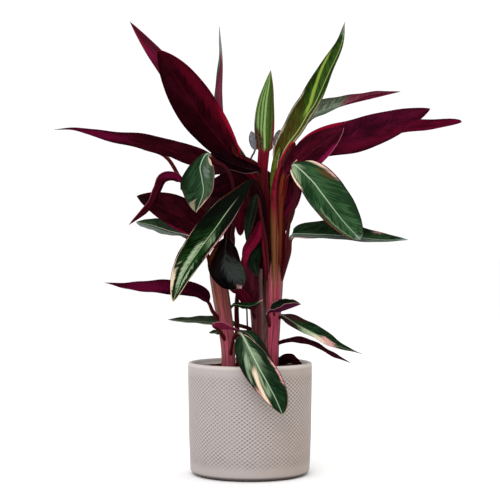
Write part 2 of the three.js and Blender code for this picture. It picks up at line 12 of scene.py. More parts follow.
import bpy
import numpy as np
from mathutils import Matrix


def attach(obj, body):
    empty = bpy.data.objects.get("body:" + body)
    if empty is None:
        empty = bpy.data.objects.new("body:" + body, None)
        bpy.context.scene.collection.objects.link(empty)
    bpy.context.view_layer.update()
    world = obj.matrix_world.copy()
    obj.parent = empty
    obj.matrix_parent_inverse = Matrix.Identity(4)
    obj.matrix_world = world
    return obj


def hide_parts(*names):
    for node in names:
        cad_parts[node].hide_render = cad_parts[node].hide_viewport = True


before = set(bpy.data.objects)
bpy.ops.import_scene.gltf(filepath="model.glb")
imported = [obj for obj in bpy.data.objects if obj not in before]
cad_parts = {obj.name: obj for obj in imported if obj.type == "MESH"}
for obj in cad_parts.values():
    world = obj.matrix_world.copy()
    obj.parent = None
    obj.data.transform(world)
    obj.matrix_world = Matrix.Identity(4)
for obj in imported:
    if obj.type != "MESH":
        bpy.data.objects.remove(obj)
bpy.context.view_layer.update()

LOG = logging.getLogger("stromanthe")
BODY = "root"
MM = 0.001
TURN = 2 * math.pi
CHANNEL_TOP = 255

Colour = tuple[float, float, float, float]
Point = tuple[float, float, float]
Knot = tuple[float, float, float, float]
Pair = tuple[float, float]


def srgb(code: int) -> Colour:
    """The linear colour of a six-digit screen colour.

    Args:
        code: The colour as 0xRRGGBB.

    Returns:
        Red, green, blue and an opacity of 1, where each channel is undone by the screen's usual curve:
        a straight foot of slope 1/12.92, then ((c + 0.055) / 1.055) to the power 2.4.
    """
    channels = [(code >> shift & CHANNEL_TOP) / CHANNEL_TOP for shift in (16, 8, 0)]
    linear = [c / 12.92 if c <= 0.04045 else ((c + 0.055) / 1.055) ** 2.4 for c in channels]
    return (linear[0], linear[1], linear[2], 1.0)


# ------------ shader maths


class Value:
    """A number that varies over a surface: an output socket whose arithmetic adds Math nodes."""

    def __init__(self, shader: "Shader", socket: bpy.types.NodeSocket) -> None:
        """Wraps a socket of the shader's tree."""
        self.shader = shader
        self.socket = socket

    def __add__(self, other: "Number") -> "Value":
        """This plus other."""
        return self.shader.math("ADD", self, other)

    __radd__ = __add__

    def __sub__(self, other: "Number") -> "Value":
        """This less other."""
        return self.shader.math("SUBTRACT", self, other)

    def __rsub__(self, other: "Number") -> "Value":
        """Other less this."""
        return self.shader.math("SUBTRACT", other, self)

    def __mul__(self, other: "Number") -> "Value":
        """This times other."""
        return self.shader.math("MULTIPLY", self, other)

    __rmul__ = __mul__

    def __truediv__(self, other: "Number") -> "Value":
        """This over other."""
        return self.shader.math("DIVIDE", self, other)

    def __abs__(self) -> "Value":
        """This without its sign."""
        return self.shader.math("ABSOLUTE", self)

    def most(self, other: "Number") -> "Value":
        """The larger of this and other."""
        return self.shader.math("MAXIMUM", self, other)

    def cosine(self) -> "Value":
        """The cosine of this, in radians."""
        return self.shader.math("COSINE", self)

    def step(self, low: "Number", high: "Number") -> "Value":
        """A smooth step from 0 at low to 1 at high, or down again where high is below low."""
        made = self.shader.node("ShaderNodeMapRange", {"interpolation_type": "SMOOTHSTEP"},
                                {"Value": self, "From Min": low, "From Max": high})
        return Value(self.shader, made.outputs["Result"])


Number = Value | float
Paint = bpy.types.NodeSocket | Colour


class Shader:
    """One material's node tree, and the short ways in which its nodes are added."""

    COAT_ROUGHNESS = 0.22

    def __init__(self, name: str) -> None:
        """Starts an empty material.

        Args:
            name: The material's name.
        """
        self.material = bpy.data.materials.new(name)
        self.material.use_nodes = True
        self.tree = self.material.node_tree
        self.tree.nodes.clear()

    def node(self, kind: str, settings: dict | None = None, inputs: dict | None = None) -> bpy.types.Node:
        """Adds any node.

        Args:
            kind: The node's Blender type.
            settings: Its properties, set first; "stops" gives a colour ramp's (place, colour) pairs.
            inputs: For each input's name or number, the value or the socket that it gets.

        Returns:
            The new node.
        """
        made = self.tree.nodes.new(kind)
        for name, setting in (settings or {}).items():
            if name == "stops":
                self._set_stops(made.color_ramp, setting)
            else:
                setattr(made, name, setting)
        for key, source in (inputs or {}).items():
            if isinstance(source, Value):
                source = source.socket
            if isinstance(source, bpy.types.NodeSocket):
                self.tree.links.new(source, made.inputs[key])
            else:
                made.inputs[key].default_value = source
        return made

    @staticmethod
    def _set_stops(ramp: bpy.types.ColorRamp, stops: list[tuple[float, Colour]]) -> None:
        """Gives a colour ramp its stops.

        Args:
            ramp: The ramp, which starts with two.
            stops: Each stop's place and colour.
        """
        while len(ramp.elements) < len(stops):
            ramp.elements.new(1.0)
        for element, (place, colour) in zip(ramp.elements, stops):
            element.position = place
            element.color = colour

    def math(self, operation: str, *operands: Number) -> Value:
        """A Math node's result for one, two or three operands."""
        made = self.node("ShaderNodeMath", {"operation": operation}, dict(enumerate(operands)))
        return Value(self, made.outputs[0])

    def attribute(self, name: str) -> Value:
        """A number that the mesh holds at its vertices."""
        made = self.node("ShaderNodeAttribute", {"attribute_name": name})
        return Value(self, made.outputs["Fac"])

    def uv(self, name: str) -> tuple[Value, Value]:
        """Reads the piece's own map.

        Args:
            name: The map's name.

        Returns:
            Its first and its second coordinate.
        """
        chart = self.node("ShaderNodeUVMap", {"uv_map": name})
        parts = self.node("ShaderNodeSeparateXYZ", None, {0: chart.outputs[0]})
        return Value(self, parts.outputs[0]), Value(self, parts.outputs[1])

    def vector(self, x: Number, y: Number, z: Number) -> bpy.types.NodeSocket:
        """Three numbers as one vector."""
        return self.node("ShaderNodeCombineXYZ", None, {0: x, 1: y, 2: z}).outputs[0]

    def object_place(self) -> bpy.types.NodeSocket:
        """The place on the piece, in metres."""
        return self.node("ShaderNodeTexCoord").outputs["Object"]

    def noise(self, place: bpy.types.NodeSocket, scale: float = 1.0, detail: float = 2.0) -> Value:
        """Soft noise around one half, with that many features to a unit of place."""
        made = self.node("ShaderNodeTexNoise", None, {"Vector": place, "Scale": scale, "Detail": detail})
        return Value(self, made.outputs[0])

    def mix(self, share: Number, first: Paint, second: Paint) -> bpy.types.NodeSocket:
        """The first colour turning into the second as share goes from 0 to 1."""
        made = self.node("ShaderNodeMix", {"data_type": "RGBA"}, {0: share, 6: first, 7: second})
        return made.outputs[2]

    def over(self, colour: Paint, share: Number, code: int) -> bpy.types.NodeSocket:
        """A colour with that share of the screen colour 0xRRGGBB laid over it."""
        return self.mix(share, colour, srgb(code))

    def ramp(self, share: Value, stops: list[tuple[float, Colour]]) -> bpy.types.NodeSocket:
        """The colour at share along a row of (place, colour) stops."""
        return self.node("ShaderNodeValToRGB", {"stops": stops}, {0: share}).outputs[0]

    def finish(self, colour: Paint, roughness: Number, height: Value | None = None,
               depth: float = 0.1, coat: Number = 0.0, gloss: float = 0.5) -> bpy.types.Material:
        """Closes the tree with its one surface.

        Args:
            colour: Base colour.
            roughness: How dull the surface is.
            height: Fine relief, from 0 to 1, or None.
            depth: What a height of 1 stands for, in millimetres.
            coat: Share of clear gloss on top.
            gloss: The surface's own specular level, the same all over.

        Returns:
            The finished material.
        """
        inputs = {"Base Color": colour, "Roughness": roughness, "Coat Weight": coat,
                  "Coat Roughness": self.COAT_ROUGHNESS, "Specular IOR Level": gloss}
        if height is not None:
            bump = self.node("ShaderNodeBump", None, {"Height": height, "Distance": depth * MM})
            inputs["Normal"] = bump.outputs[0]
        surface = self.node("ShaderNodeBsdfPrincipled", None, inputs)
        self.node("ShaderNodeOutputMaterial", None, {"Surface": surface.outputs[0]})
        return self.material


# ------------ meshes


def smooth_step(value: np.ndarray, low: float, high: float) -> np.ndarray:
    """3x^2 - 2x^3 of x, the share of the way from low to high, held between 0 and 1."""
    x = np.clip((value - low) / (high - low), 0.0, 1.0)
    return x * x * (3 - 2 * x)


@dataclass
class ClosedTube:
    """A closed surface: rings of points joined to their neighbours, with a fan of triangles over each end.

    rings holds (ring, place round the ring, xyz) in millimetres. chart holds the map's two coordinates for
    the same grid with the first column repeated at its end, so that the map has its seam there.
    """

    name: str
    rings: np.ndarray
    chart: np.ndarray
    chart_name: str
    fields: dict[str, np.ndarray] = field(default_factory=dict)

    def piece(self, material: bpy.types.Material) -> bpy.types.Object:
        """Makes the mesh object.

        Ring i and place j give vertex i * m + j, and the two ends' middles come last. A quad joins places
        j and j + 1 of rings i and i + 1. If the sum of corner triple products, six times the volume, is
        below zero, every face is turned round so that all face outwards.

        Args:
            material: What the piece is made of.

        Returns:
            The object, at the origin.
        """
        count, places = self.rings.shape[:2]
        middles = self.rings[[0, -1]].mean(axis=1)
        points = np.vstack([self.rings.reshape(-1, 3), middles]) * MM
        ring, place = np.meshgrid(np.arange(count - 1), np.arange(places), indexing="ij")
        following = (place + 1) % places
        quads = np.stack([ring * places + place, ring * places + following,
                          (ring + 1) * places + following, (ring + 1) * places + place], -1).reshape(-1, 4)
        turn = np.arange(places)
        onward = (turn + 1) % places
        first, last = count * places, count * places + 1
        base = (count - 1) * places
        fans = np.vstack([np.stack([onward, turn, np.full(places, first)], -1),
                          np.stack([base + turn, base + onward, np.full(places, last)], -1)])
        quad_chart = np.stack([self.chart[ring, place], self.chart[ring, place + 1],
                               self.chart[ring + 1, place + 1], self.chart[ring + 1, place]], -2)
        ends = self.chart[[0, -1], :-1].mean(axis=1)
        fan_chart = np.concatenate([
            np.stack([self.chart[0, turn + 1], self.chart[0, turn], np.tile(ends[0], (places, 1))], 1),
            np.stack([self.chart[-1, turn], self.chart[-1, turn + 1], np.tile(ends[1], (places, 1))], 1)])
        corner_chart = [quad_chart.reshape(-1, 4, 2), fan_chart]
        triangles = np.vstack([quads[:, [0, 1, 2]], quads[:, [0, 2, 3]], fans])
        corners = points[triangles]
        volume = np.einsum("ij,ij->i", corners[:, 0], np.cross(corners[:, 1], corners[:, 2])).sum()
        if volume < 0:
            quads, fans = quads[:, ::-1], fans[:, ::-1]
            corner_chart = [part[:, ::-1] for part in corner_chart]
        values = {}
        for name, value in self.fields.items():
            ends = value[[0, -1]].mean(axis=1)
            values[name] = np.concatenate([value.reshape(-1), ends])
        return piece_of(self.name, points, [quads, fans], material, values,
                        np.concatenate([part.reshape(-1, 2) for part in corner_chart]), self.chart_name)


def piece_of(name: str, points: np.ndarray, faces: list[np.ndarray], material: bpy.types.Material,
             fields: dict[str, np.ndarray] | None = None, chart: np.ndarray | None = None,
             chart_name: str = "Map") -> bpy.types.Object:
    """Makes an object that rides on the body, its place in its mesh.

    Args:
        name: The piece's name.
        points: Vertices, in metres.
        faces: Arrays of vertex numbers, one array for each number of corners.
        material: What the piece is made of.
        fields: Numbers that each vertex holds, by name.
        chart: The map's coordinates, a pair for each corner in the order of the faces.
        chart_name: The map's name.

    Returns:
        The object.
    """
    mesh = bpy.data.meshes.new(name)
    loops = np.concatenate([part.reshape(-1) for part in faces])
    sizes = np.concatenate([np.full(len(part), part.shape[1]) for part in faces])
    mesh.vertices.add(len(points))
    mesh.vertices.foreach_set("co", points.astype(np.float32).ravel())
    mesh.loops.add(len(loops))
    mesh.loops.foreach_set("vertex_index", loops.astype(np.int32))
    mesh.polygons.add(len(sizes))
    mesh.polygons.foreach_set("loop_start", np.concatenate([[0], np.cumsum(sizes)[:-1]]).astype(np.int32))
    mesh.polygons.foreach_set("use_smooth", np.ones(len(sizes), bool))
    for field_name, value in (fields or {}).items():
        held = mesh.attributes.new(field_name, "FLOAT", "POINT")
        held.data.foreach_set("value", value.astype(np.float32))
    if chart is not None:
        mesh.uv_layers.new(name=chart_name).data.foreach_set("uv", chart.astype(np.float32).ravel())
    mesh.update(calc_edges=True)
    mesh.validate()
    mesh.materials.append(material)
    made = bpy.data.objects.new(name, mesh)
    bpy.context.scene.collection.objects.link(made)
    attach(made, BODY)
    return made


def soft_noise(seed: int, places: np.ndarray, waves: int = 24) -> np.ndarray:
    """Smooth noise of about unit size: a sum of cosine waves in random directions.

    Each wave is cos(place . direction + phase), with a direction drawn from a unit normal distribution and
    an even phase; the sum is divided by the root of half the number of waves.

    Args:
        seed: Where the random draws start.
        places: Points (..., dimensions) in units of the noise's grain.
        waves: How many waves are summed.

    Returns:
        The noise at each place.
    """
    draw = np.random.default_rng(seed)
    directions = draw.normal(size=(waves, places.shape[-1]))
    phases = draw.uniform(0, TURN, waves)
    return np.cos(places @ directions.T + phases).sum(-1) / math.sqrt(waves / 2)


class Route:
    """A smooth line through points: uniform Catmull-Rom spans, whose end tangents run straight on."""

    SPAN_STEPS = 40
    REACH = 4.0

    def __init__(self, points: list[Point]) -> None:
        """Works out the line and the distance along it at each of its points.

        Args:
            points: The points that the line goes through, in order.
        """
        knots = np.array(points, float)
        held = np.vstack([2 * knots[0] - knots[1], knots, 2 * knots[-1] - knots[-2]])
        t = np.linspace(0, 1, self.SPAN_STEPS, endpoint=False)[:, None]
        spans = [self._span(held[k:k + 4], t) for k in range(len(knots) - 1)]
        self.line = np.vstack([*spans, knots[-1:]])
        steps = np.linalg.norm(np.diff(self.line, axis=0), axis=1)
        self.distance = np.concatenate([[0.0], np.cumsum(steps)])
        self.knots = self.distance[::self.SPAN_STEPS]
        self.length = float(self.distance[-1])

    @staticmethod
    def _span(p: np.ndarray, t: np.ndarray) -> np.ndarray:
        """Half of 2p1 + (p2 - p0)t + (2p0 - 5p1 + 4p2 - p3)t^2 + (3p1 - p0 - 3p2 + p3)t^3."""
        square, cube = t * t, t * t * t
        return 0.5 * (2 * p[1] + (p[2] - p[0]) * t + (2 * p[0] - 5 * p[1] + 4 * p[2] - p[3]) * square
                      + (3 * p[1] - p[0] - 3 * p[2] + p[3]) * cube)

    def at(self, distance: np.ndarray) -> np.ndarray:
        """Points on the line at these distances from its start."""
        held = np.clip(distance, 0, self.length)
        return np.stack([np.interp(held, self.distance, self.line[:, k]) for k in range(3)], -1)

    def tangent(self, distance: np.ndarray) -> np.ndarray:
        """Unit vectors along the line at these distances."""
        ahead = self.at(distance + self.REACH) - self.at(distance - self.REACH)
        return ahead / np.linalg.norm(ahead, axis=1, keepdims=True)


def along_list(rows: tuple, t: np.ndarray) -> np.ndarray:
    """Reads a list of evenly spaced rows, straight from one to the next.

    Args:
        rows: The rows, all of one length.
        t: Places along the list, from 0 to 1.

    Returns:
        A row for each place.
    """
    table = np.array(rows, float)
    places = np.linspace(0, 1, len(table))
    return np.stack([np.interp(t, places, column) for column in table.T], -1)


def frames_along(route: Route, distance: np.ndarray, face: np.ndarray) -> tuple[np.ndarray, np.ndarray]:
    """Cross-section axes that follow a route.

    Args:
        route: The line.
        distance: Where along it each cross-section stands.
        face: For each, the way in which its upper side looks.

    Returns:
        The normals, which are face less its part along the tangent, made unit; and the sides, tangent
        crossed with normal.
    """
    tangent = route.tangent(distance)
    normal = face - tangent * np.sum(face * tangent, axis=1, keepdims=True)
    normal /= np.linalg.norm(normal, axis=1, keepdims=True)
    return normal, np.cross(tangent, normal)


# ------------ finishes


class Tint(Enum):
    """The colours that turn up in this plant's markings, and a grey for painted sheen: light glancing off the
    leaves' gloss.
    """

    INK = 0x0A0C0A
    GREEN = 0x24442A
    OLIVE = 0x2A380E
    LIME = 0x90A840
    SAGE = 0xA4BA94
    # Grey-green painted sheen: a highlight of light glancing off a leaf's gloss.
    GREY = 0x7E8A84
    CREAM = 0xEAD2B6
    PINK = 0xDEA29E
    ROSE = 0xA8465A
    CRIMSON = 0x9A0E2A
    RUBY = 0x640A1E
    MAGENTA = 0x780E3C
    BURGUNDY = 0x340814
    BLACKISH = 0x160308
    RUST = 0x7E3A1E
    BARK = 0x6A4428

    @property
    def colour(self) -> Colour:
        """The linear colour."""
        return srgb(self.value)


class Side(Enum):
    """A blade's two faces."""

    UPPER = "upper"
    UNDER = "under"


@dataclass(frozen=True)
class Patch:
    """A patch of colour whose ends follow the side veins, ragged like a brush stroke.

    along runs from the blade's base (0) to its tip (1), measured where the side vein leaves the midrib, so
    that it is below 0 beside the base; across runs from -1 to 1.
    """

    tint: Tint
    along: Pair
    across: Pair
    side: Side = Side.UPPER
    share: float = 1.0
    soft: float = 0.05
    ragged: float = 0.14
    streak: float = 0.45


@dataclass(frozen=True)
class Streak:
    """A thin lengthwise line on the upper side, between two places given as (share of length, across).

    width is half the line's width, as a share of the blade's half width.
    """

    tint: Tint
    start: Pair
    end: Pair
    width: float = 0.1
    share: float = 0.8


@dataclass(frozen=True)
class Line:
    """A thin line of colour: its colour and its widths, in millimetres, on the two halves of the blade."""

    code: int
    widths: Pair


@dataclass(frozen=True)
class Grain:
    """A noise's grain on a leaf: its length in millimetres, grains across each half, shift and detail."""

    length: float
    across: float
    shift: float
    detail: float


class LeafChart:
    """Where a shaded point lies on its leaf, and the noises that its markings share."""

    VEIN_SLOPE = 1.5
    FEATHER = Grain(6.0, 1.2, 0.0, 2.0)
    BRISTLE = Grain(1.3, 2.4, 9.0, 3.0)
    DRIFT = Grain(40.0, 1.6, 20.0, 3.0)
    STRAND_LENGTH = 70.0
    STRANDS = 1.6
    HALF_BLEND = 0.01
    LEAST_OUT = 0.05
    STALK_TOP = (3.0, -9.0)
    MARGIN_BLUR = 0.35
    MIDRIB_BLUR = (0.5, -0.4)
    MIDRIB_TAPER = 0.75

    def __init__(self, shader: Shader) -> None:
        """Reads the leaf's map and numbers.

        vein is the distance along the midrib at which the side vein through the point leaves it: the point's
        own distance less its distance aside times the veins' slope. edge is how far the margin is, in
        millimetres: the half width, which is aside over out, less aside. second is 0 on the half where across
        is below 0 and 1 on the other one.

        Args:
            shader: The material that the leaf is made of.
        """
        self.shader = shader
        self.t, place = shader.uv(Leaf.CHART)
        self.across = place * 2 - 1
        self.out = abs(self.across)
        self.second = self.across.step(-self.HALF_BLEND, self.HALF_BLEND)
        self.along = shader.attribute("along")
        self.aside = abs(shader.attribute("aside"))
        self.under = shader.attribute("under")
        self.edge = self.aside / self.out.most(self.LEAST_OUT) - self.aside
        self.vein = self.along - self.aside * self.VEIN_SLOPE
        self.vein_share = self.vein / shader.attribute("length")
        self.seed = shader.attribute("seed")
        self.feather = self._noise(self.vein, self.FEATHER)
        self.bristle = self._noise(self.vein, self.BRISTLE)
        self.drift = self._noise(self.along, self.DRIFT)
        self.stalk = self.along.step(*self.STALK_TOP)
        around = [shader.attribute(name) * self.STRANDS for name in ("sine", "cosine")]
        turn = shader.vector(*around, self.along / self.STRAND_LENGTH + self.seed)
        self.strand = shader.noise(turn, detail=3.0)

    def _noise(self, along: Value, grain: Grain) -> Value:
        """The leaf's own noise of that grain, where along is a distance in millimetres."""
        place = self.shader.vector(along / grain.length, self.across * grain.across, self.seed + grain.shift)
        return self.shader.noise(place, detail=grain.detail)

    def veins(self, pitch: float, bend: float, low: float, high: float) -> Value:
        """Lines along the side veins, one to a pitch in millimetres, bent by noise and cut by a step."""
        wave = (self.vein * (TURN / pitch) + self.feather * bend).cosine()
        return wave.step(low, high)

    def width_of(self, line: Line) -> Number:
        """A line's width on the half that the point is on."""
        first, second = line.widths
        return self.second * (second - first) + first

    def on_margin(self, line: Line) -> Number:
        """How much of a line along the margin shows: its width wavers with the drift."""
        width = self.width_of(line)
        return ((self.edge - width * (0.3 + self.drift * 1.4)).step(self.MARGIN_BLUR, -self.MARGIN_BLUR)
                * width.step(0.0, 0.5))

    def on_midrib(self, line: Line) -> Number:
        """How much of a line along the midrib shows: it narrows to a quarter of its width at the tip."""
        reach = self.width_of(line) * (1 - self.t * self.MIDRIB_TAPER) * 0.5
        return (self.aside - reach).step(*self.MIDRIB_BLUR)


@dataclass(frozen=True)
class LeafFinish:
    """How one leaf is coloured: greens above, wine reds below, its midrib, margins and patches.

    greens and unders go from the darker colour to the lighter one. margin is the upper side's edge, rim the
    underside's, partly the margin's own colour and partly painted glow of light shining through the thin
    edge, and keel the midrib as it shows below. stalks are the stalk's two colours, and veins is how dark the
    side veins are.
    plain_to is the share of the blade, from its base, that has neither midrib nor margin. gleam is the colour
    of the fine pale streaks between the veins, painted glints of light along them, stripes the strength of
    stripes of both greens that run lengthwise, and gloss the surface's specular level.
    """

    greens: tuple[int, int] = (0x071405, 0x1E3C1A)
    midrib: Line = Line(0x98AE86, (1.1, 1.1))
    margin: Line = Line(0x8A7262, (0.3, 0.3))
    unders: tuple[int, int] = (0x1C0408, 0x340814)
    rim: Line = Line(0x5A0E20, (0.5, 0.5))
    keel: int = 0x560C1C
    stalks: tuple[int, int] = (0x2E0810, 0x4A1814)
    veins: float = 0.4
    plain_to: float = -0.4
    gleam: int = 0x5A7A54
    stripes: float = 0.0
    gloss: float = 0.03
    patches: tuple[Patch, ...] = ()
    streaks: tuple[Streak, ...] = ()

    VEIN_PITCH = 4.4
    GLEAM_PITCH = 3.1
    UNDER_PITCH = 3.4
    GAP_PITCH = 5.2
    RIPPLE_PITCH = 2.1
    RELIEF = 0.16
    LINES_FADE = (-0.06, 0.14)
    STRIPES_ACROSS = 19
    STREAK_ENDS = 0.05

    def material(self, name: str) -> bpy.types.Material:
        """Makes the leaf's material: the two sides of the blade, and the stalk below them.

        Args:
            name: The material's name.

        Returns:
            The material, whose fine relief is ripples that follow the side veins, and bristle noise.
        """
        shader = Shader(name)
        chart = LeafChart(shader)
        sides = self._upper(shader, chart), self._lower(shader, chart)
        colour = shader.mix(chart.under.step(0.35, 0.65), *sides)
        stalk = shader.mix(chart.strand.step(0.4, 0.6), srgb(self.stalks[0]), srgb(self.stalks[1]))
        colour = shader.mix(chart.stalk, colour, stalk)
        roughness = 0.42 + chart.under * 0.16 + chart.bristle * 0.12
        ripple = (chart.vein * (TURN / self.RIPPLE_PITCH)).cosine()
        height = 0.5 + ripple * (1 - chart.stalk) * 0.25 + (chart.bristle - 0.5) * 0.6
        return shader.finish(colour, roughness, height, depth=self.RELIEF, gloss=self.gloss)

    def _upper(self, shader: Shader, chart: LeafChart) -> Paint:
        """The upper side: feathered greens that pale towards the midrib, patches, then midrib and margin.

        Args:
            shader: The material.
            chart: Where its points lie on the leaf.

        Returns:
            The colour.
        """
        dark, light = (srgb(code) for code in self.greens)
        start, end = self.LINES_FADE
        lined = chart.t.step(self.plain_to + start, self.plain_to + end)
        paling = (chart.feather - (chart.out - 0.45) * 0.3 + (chart.bristle - 0.5) * 1.3
                  + (chart.drift - 0.5) * 0.5)
        colour = shader.mix(paling.step(0.4, 0.68), dark, light)
        line = chart.veins(self.VEIN_PITCH, 4, 0.1, 1.0)
        colour = shader.mix(line * self.veins * chart.bristle.step(0.36, 0.56), colour, dark)
        # Painted highlight: fine pale glints of light along the side veins.
        glint = chart.veins(self.GLEAM_PITCH, -5, 0.7, 1.0)
        colour = shader.over(colour, glint * chart.drift.step(0.44, 0.62) * 0.2 * lined, self.gleam)
        if self.stripes:
            stripe = (chart.across * self.STRIPES_ACROSS + chart.drift * 5).cosine().step(-0.2, 0.8)
            colour = shader.mix(self.stripes, colour, shader.mix(stripe, light, dark))
        colour = self._streaked(shader, chart, self._patched(shader, chart, colour, Side.UPPER))
        share = chart.on_midrib(self.midrib) * (0.3 + chart.bristle * 0.8) * lined
        colour = shader.over(colour, share, self.midrib.code)
        margin = chart.on_margin(self.margin) * (0.35 + chart.drift * 1.1) * lined
        return shader.over(colour, margin, self.margin.code)

    def _lower(self, shader: Shader, chart: LeafChart) -> Paint:
        """The underside: drifting wine reds with fine veins, patches, a faint midrib and a thin rim that is
        partly the margin's own colour and partly painted glow of light shining through it.

        Args:
            shader: The material.
            chart: Where its points lie on the leaf.

        Returns:
            The colour.
        """
        dark, light = (srgb(code) for code in self.unders)
        tone = chart.drift + (chart.bristle - 0.5) * 0.9
        colour = shader.mix(tone.step(0.38, 0.66), dark, light)
        line = chart.veins(self.UNDER_PITCH, 3, 0.3, 1.0)
        colour = shader.mix(line * 0.5 * chart.bristle.step(0.4, 0.58), colour, light)
        colour = self._patched(shader, chart, colour, Side.UNDER)
        # The rim: partly the margin's own colour, partly painted glow of light shining through the thin edge.
        colour = shader.over(colour, chart.on_margin(self.rim) * 0.8, self.rim.code)
        return shader.over(colour, chart.on_midrib(self.midrib) * 0.35, self.keel)

    def _streaked(self, shader: Shader, chart: LeafChart, colour: Paint) -> Paint:
        """Lays the streaks on a colour: each is strongest where across is on the line between its ends.

        Args:
            shader: The material.
            chart: Where its points lie on the leaf.
            colour: What they are laid on.

        Returns:
            The colour with the streaks.
        """
        for streak in self.streaks:
            (first, start), (last, end) = streak.start, streak.end
            line = (chart.t - first) * ((end - start) / (last - first)) + start
            off = abs(chart.across + (chart.drift - 0.5) * 0.16 - line)
            fade = self.STREAK_ENDS
            ends = chart.t.step(first - fade, first + fade) * chart.t.step(last + fade, last - fade)
            share = off.step(streak.width, streak.width * 0.2) * ends * (0.4 + chart.bristle * 0.9)
            colour = shader.mix(share * streak.share, colour, streak.tint.colour)
        return colour

    def _patched(self, shader: Shader, chart: LeafChart, colour: Paint, side: Side) -> Paint:
        """Lays this side's patches on a colour.

        A patch's share is the product of four smooth steps, one at each end along the veins and one at each
        side, where both coordinates are shifted by noise so that the ends are ragged. Gaps that follow the
        veins then break it into streaks.

        Args:
            shader: The material.
            chart: Where its points lie on the leaf.
            colour: What they are laid on.
            side: Which side's patches.

        Returns:
            The colour with the patches.
        """
        gaps = chart.veins(self.GAP_PITCH, 5, 0.0, 0.9) * chart.bristle.step(0.3, 0.5)
        for patch in self.patches:
            if patch.side is not side:
                continue
            along = chart.vein_share + (chart.bristle + chart.feather - 1) * patch.ragged
            across = chart.across + (chart.feather + chart.bristle - 1) * patch.ragged * 1.5
            start, end = patch.along
            low, high = patch.across
            soft = patch.soft
            share = along.step(start - soft, start + soft) * along.step(end + soft, end - soft)
            if low > -1:
                share = share * across.step(low - soft, low + soft * 2)
            if high < 1:
                share = share * across.step(high + soft, high - soft * 2)
            colour = shader.mix(share * (patch.share - gaps * (patch.share * patch.streak)), colour,
                                patch.tint.colour)
        return colour


@dataclass(frozen=True)
class CaneFinish:
    """A cane's stripes and painted shading: colours from its left edge to its right one, low down and high
    up.

    heights are where the low stripes give way to the high ones, in millimetres. seam is the dark lines
    between the wrapped stalks, painted shade in their grooves, and their dry tips, and bloom the pale fibres
    with painted highlights along them.
    """

    low: tuple[int, ...]
    high: tuple[int, ...]
    heights: Pair = (200.0, 320.0)
    seam: int = 0x2E080C
    fibre_highlight: int = 0xC88A86

    STRAND = (9, 70, 4.0)
    FLECK = (16, 14, 3.0)
    BROAD = (2.2, 110, 2.0)
    SEAMS = 8

    def material(self, name: str) -> bpy.types.Material:
        """Makes the cane's material: stripes across it, blended with height, with fine strands along it.

        Args:
            name: The material's name.

        Returns:
            The material. Its noises wrap round the cane, because they read the angle's sine and cosine.
        """
        shader = Shader(name)
        sine, along = shader.attribute("sine"), shader.attribute("along")
        grains = self.STRAND, self.FLECK, self.BROAD
        strand, fleck, broad = (self._noise(shader, *grain) for grain in grains)
        place = (sine + 1) * 0.5 + (strand - 0.5) * 0.5 + (broad - 0.5) * 0.5
        # The ramps across the cane hold painted light and shade as well as its stripes: brighter where the
        # light falls, darker towards the shaded edges.
        low, high = self._stripes(shader, place, self.low), self._stripes(shader, place, self.high)
        colour = shader.mix(along.step(*self.heights), low, high)
        # Painted shade: dark lines in the grooves between the wrapped stalks.
        seam = (sine * self.SEAMS + broad * 9).cosine().step(0.55, 1.0)
        colour = shader.over(colour, seam * 0.6, self.seam)
        # Pale pink lines along the strands: pale fibres, with painted highlights on them.
        colour = shader.over(colour, (strand - 0.5).step(0.05, 0.16) * 0.32, self.fibre_highlight)
        colour = shader.over(colour, (fleck - 0.5).step(0.06, 0.16) * 0.3, self.seam)
        colour = shader.over(colour, (0.5 - strand).step(0.02, 0.16) * 0.6, self.seam)
        tip = (shader.attribute("left") + (strand - 0.5) * 0.8).step(0.9, 0.1)
        colour = shader.over(colour, tip * 0.8, self.seam)
        return shader.finish(colour, 0.4 + strand * 0.2, strand, depth=0.5, coat=0.05, gloss=0.12)

    @staticmethod
    def _noise(shader: Shader, turns: float, length: float, detail: float) -> Value:
        """Noise round the cane and along it, with grains of that length in millimetres."""
        around = shader.attribute("sine") * turns, shader.attribute("cosine") * turns
        return shader.noise(shader.vector(*around, shader.attribute("along") / length), detail=detail)

    @staticmethod
    def _stripes(shader: Shader, place: Value, codes: tuple[int, ...]) -> bpy.types.NodeSocket:
        """The colours as evenly spaced stops of a ramp."""
        last = len(codes) - 1
        return shader.ramp(place, [(k / last, srgb(code)) for k, code in enumerate(codes)])


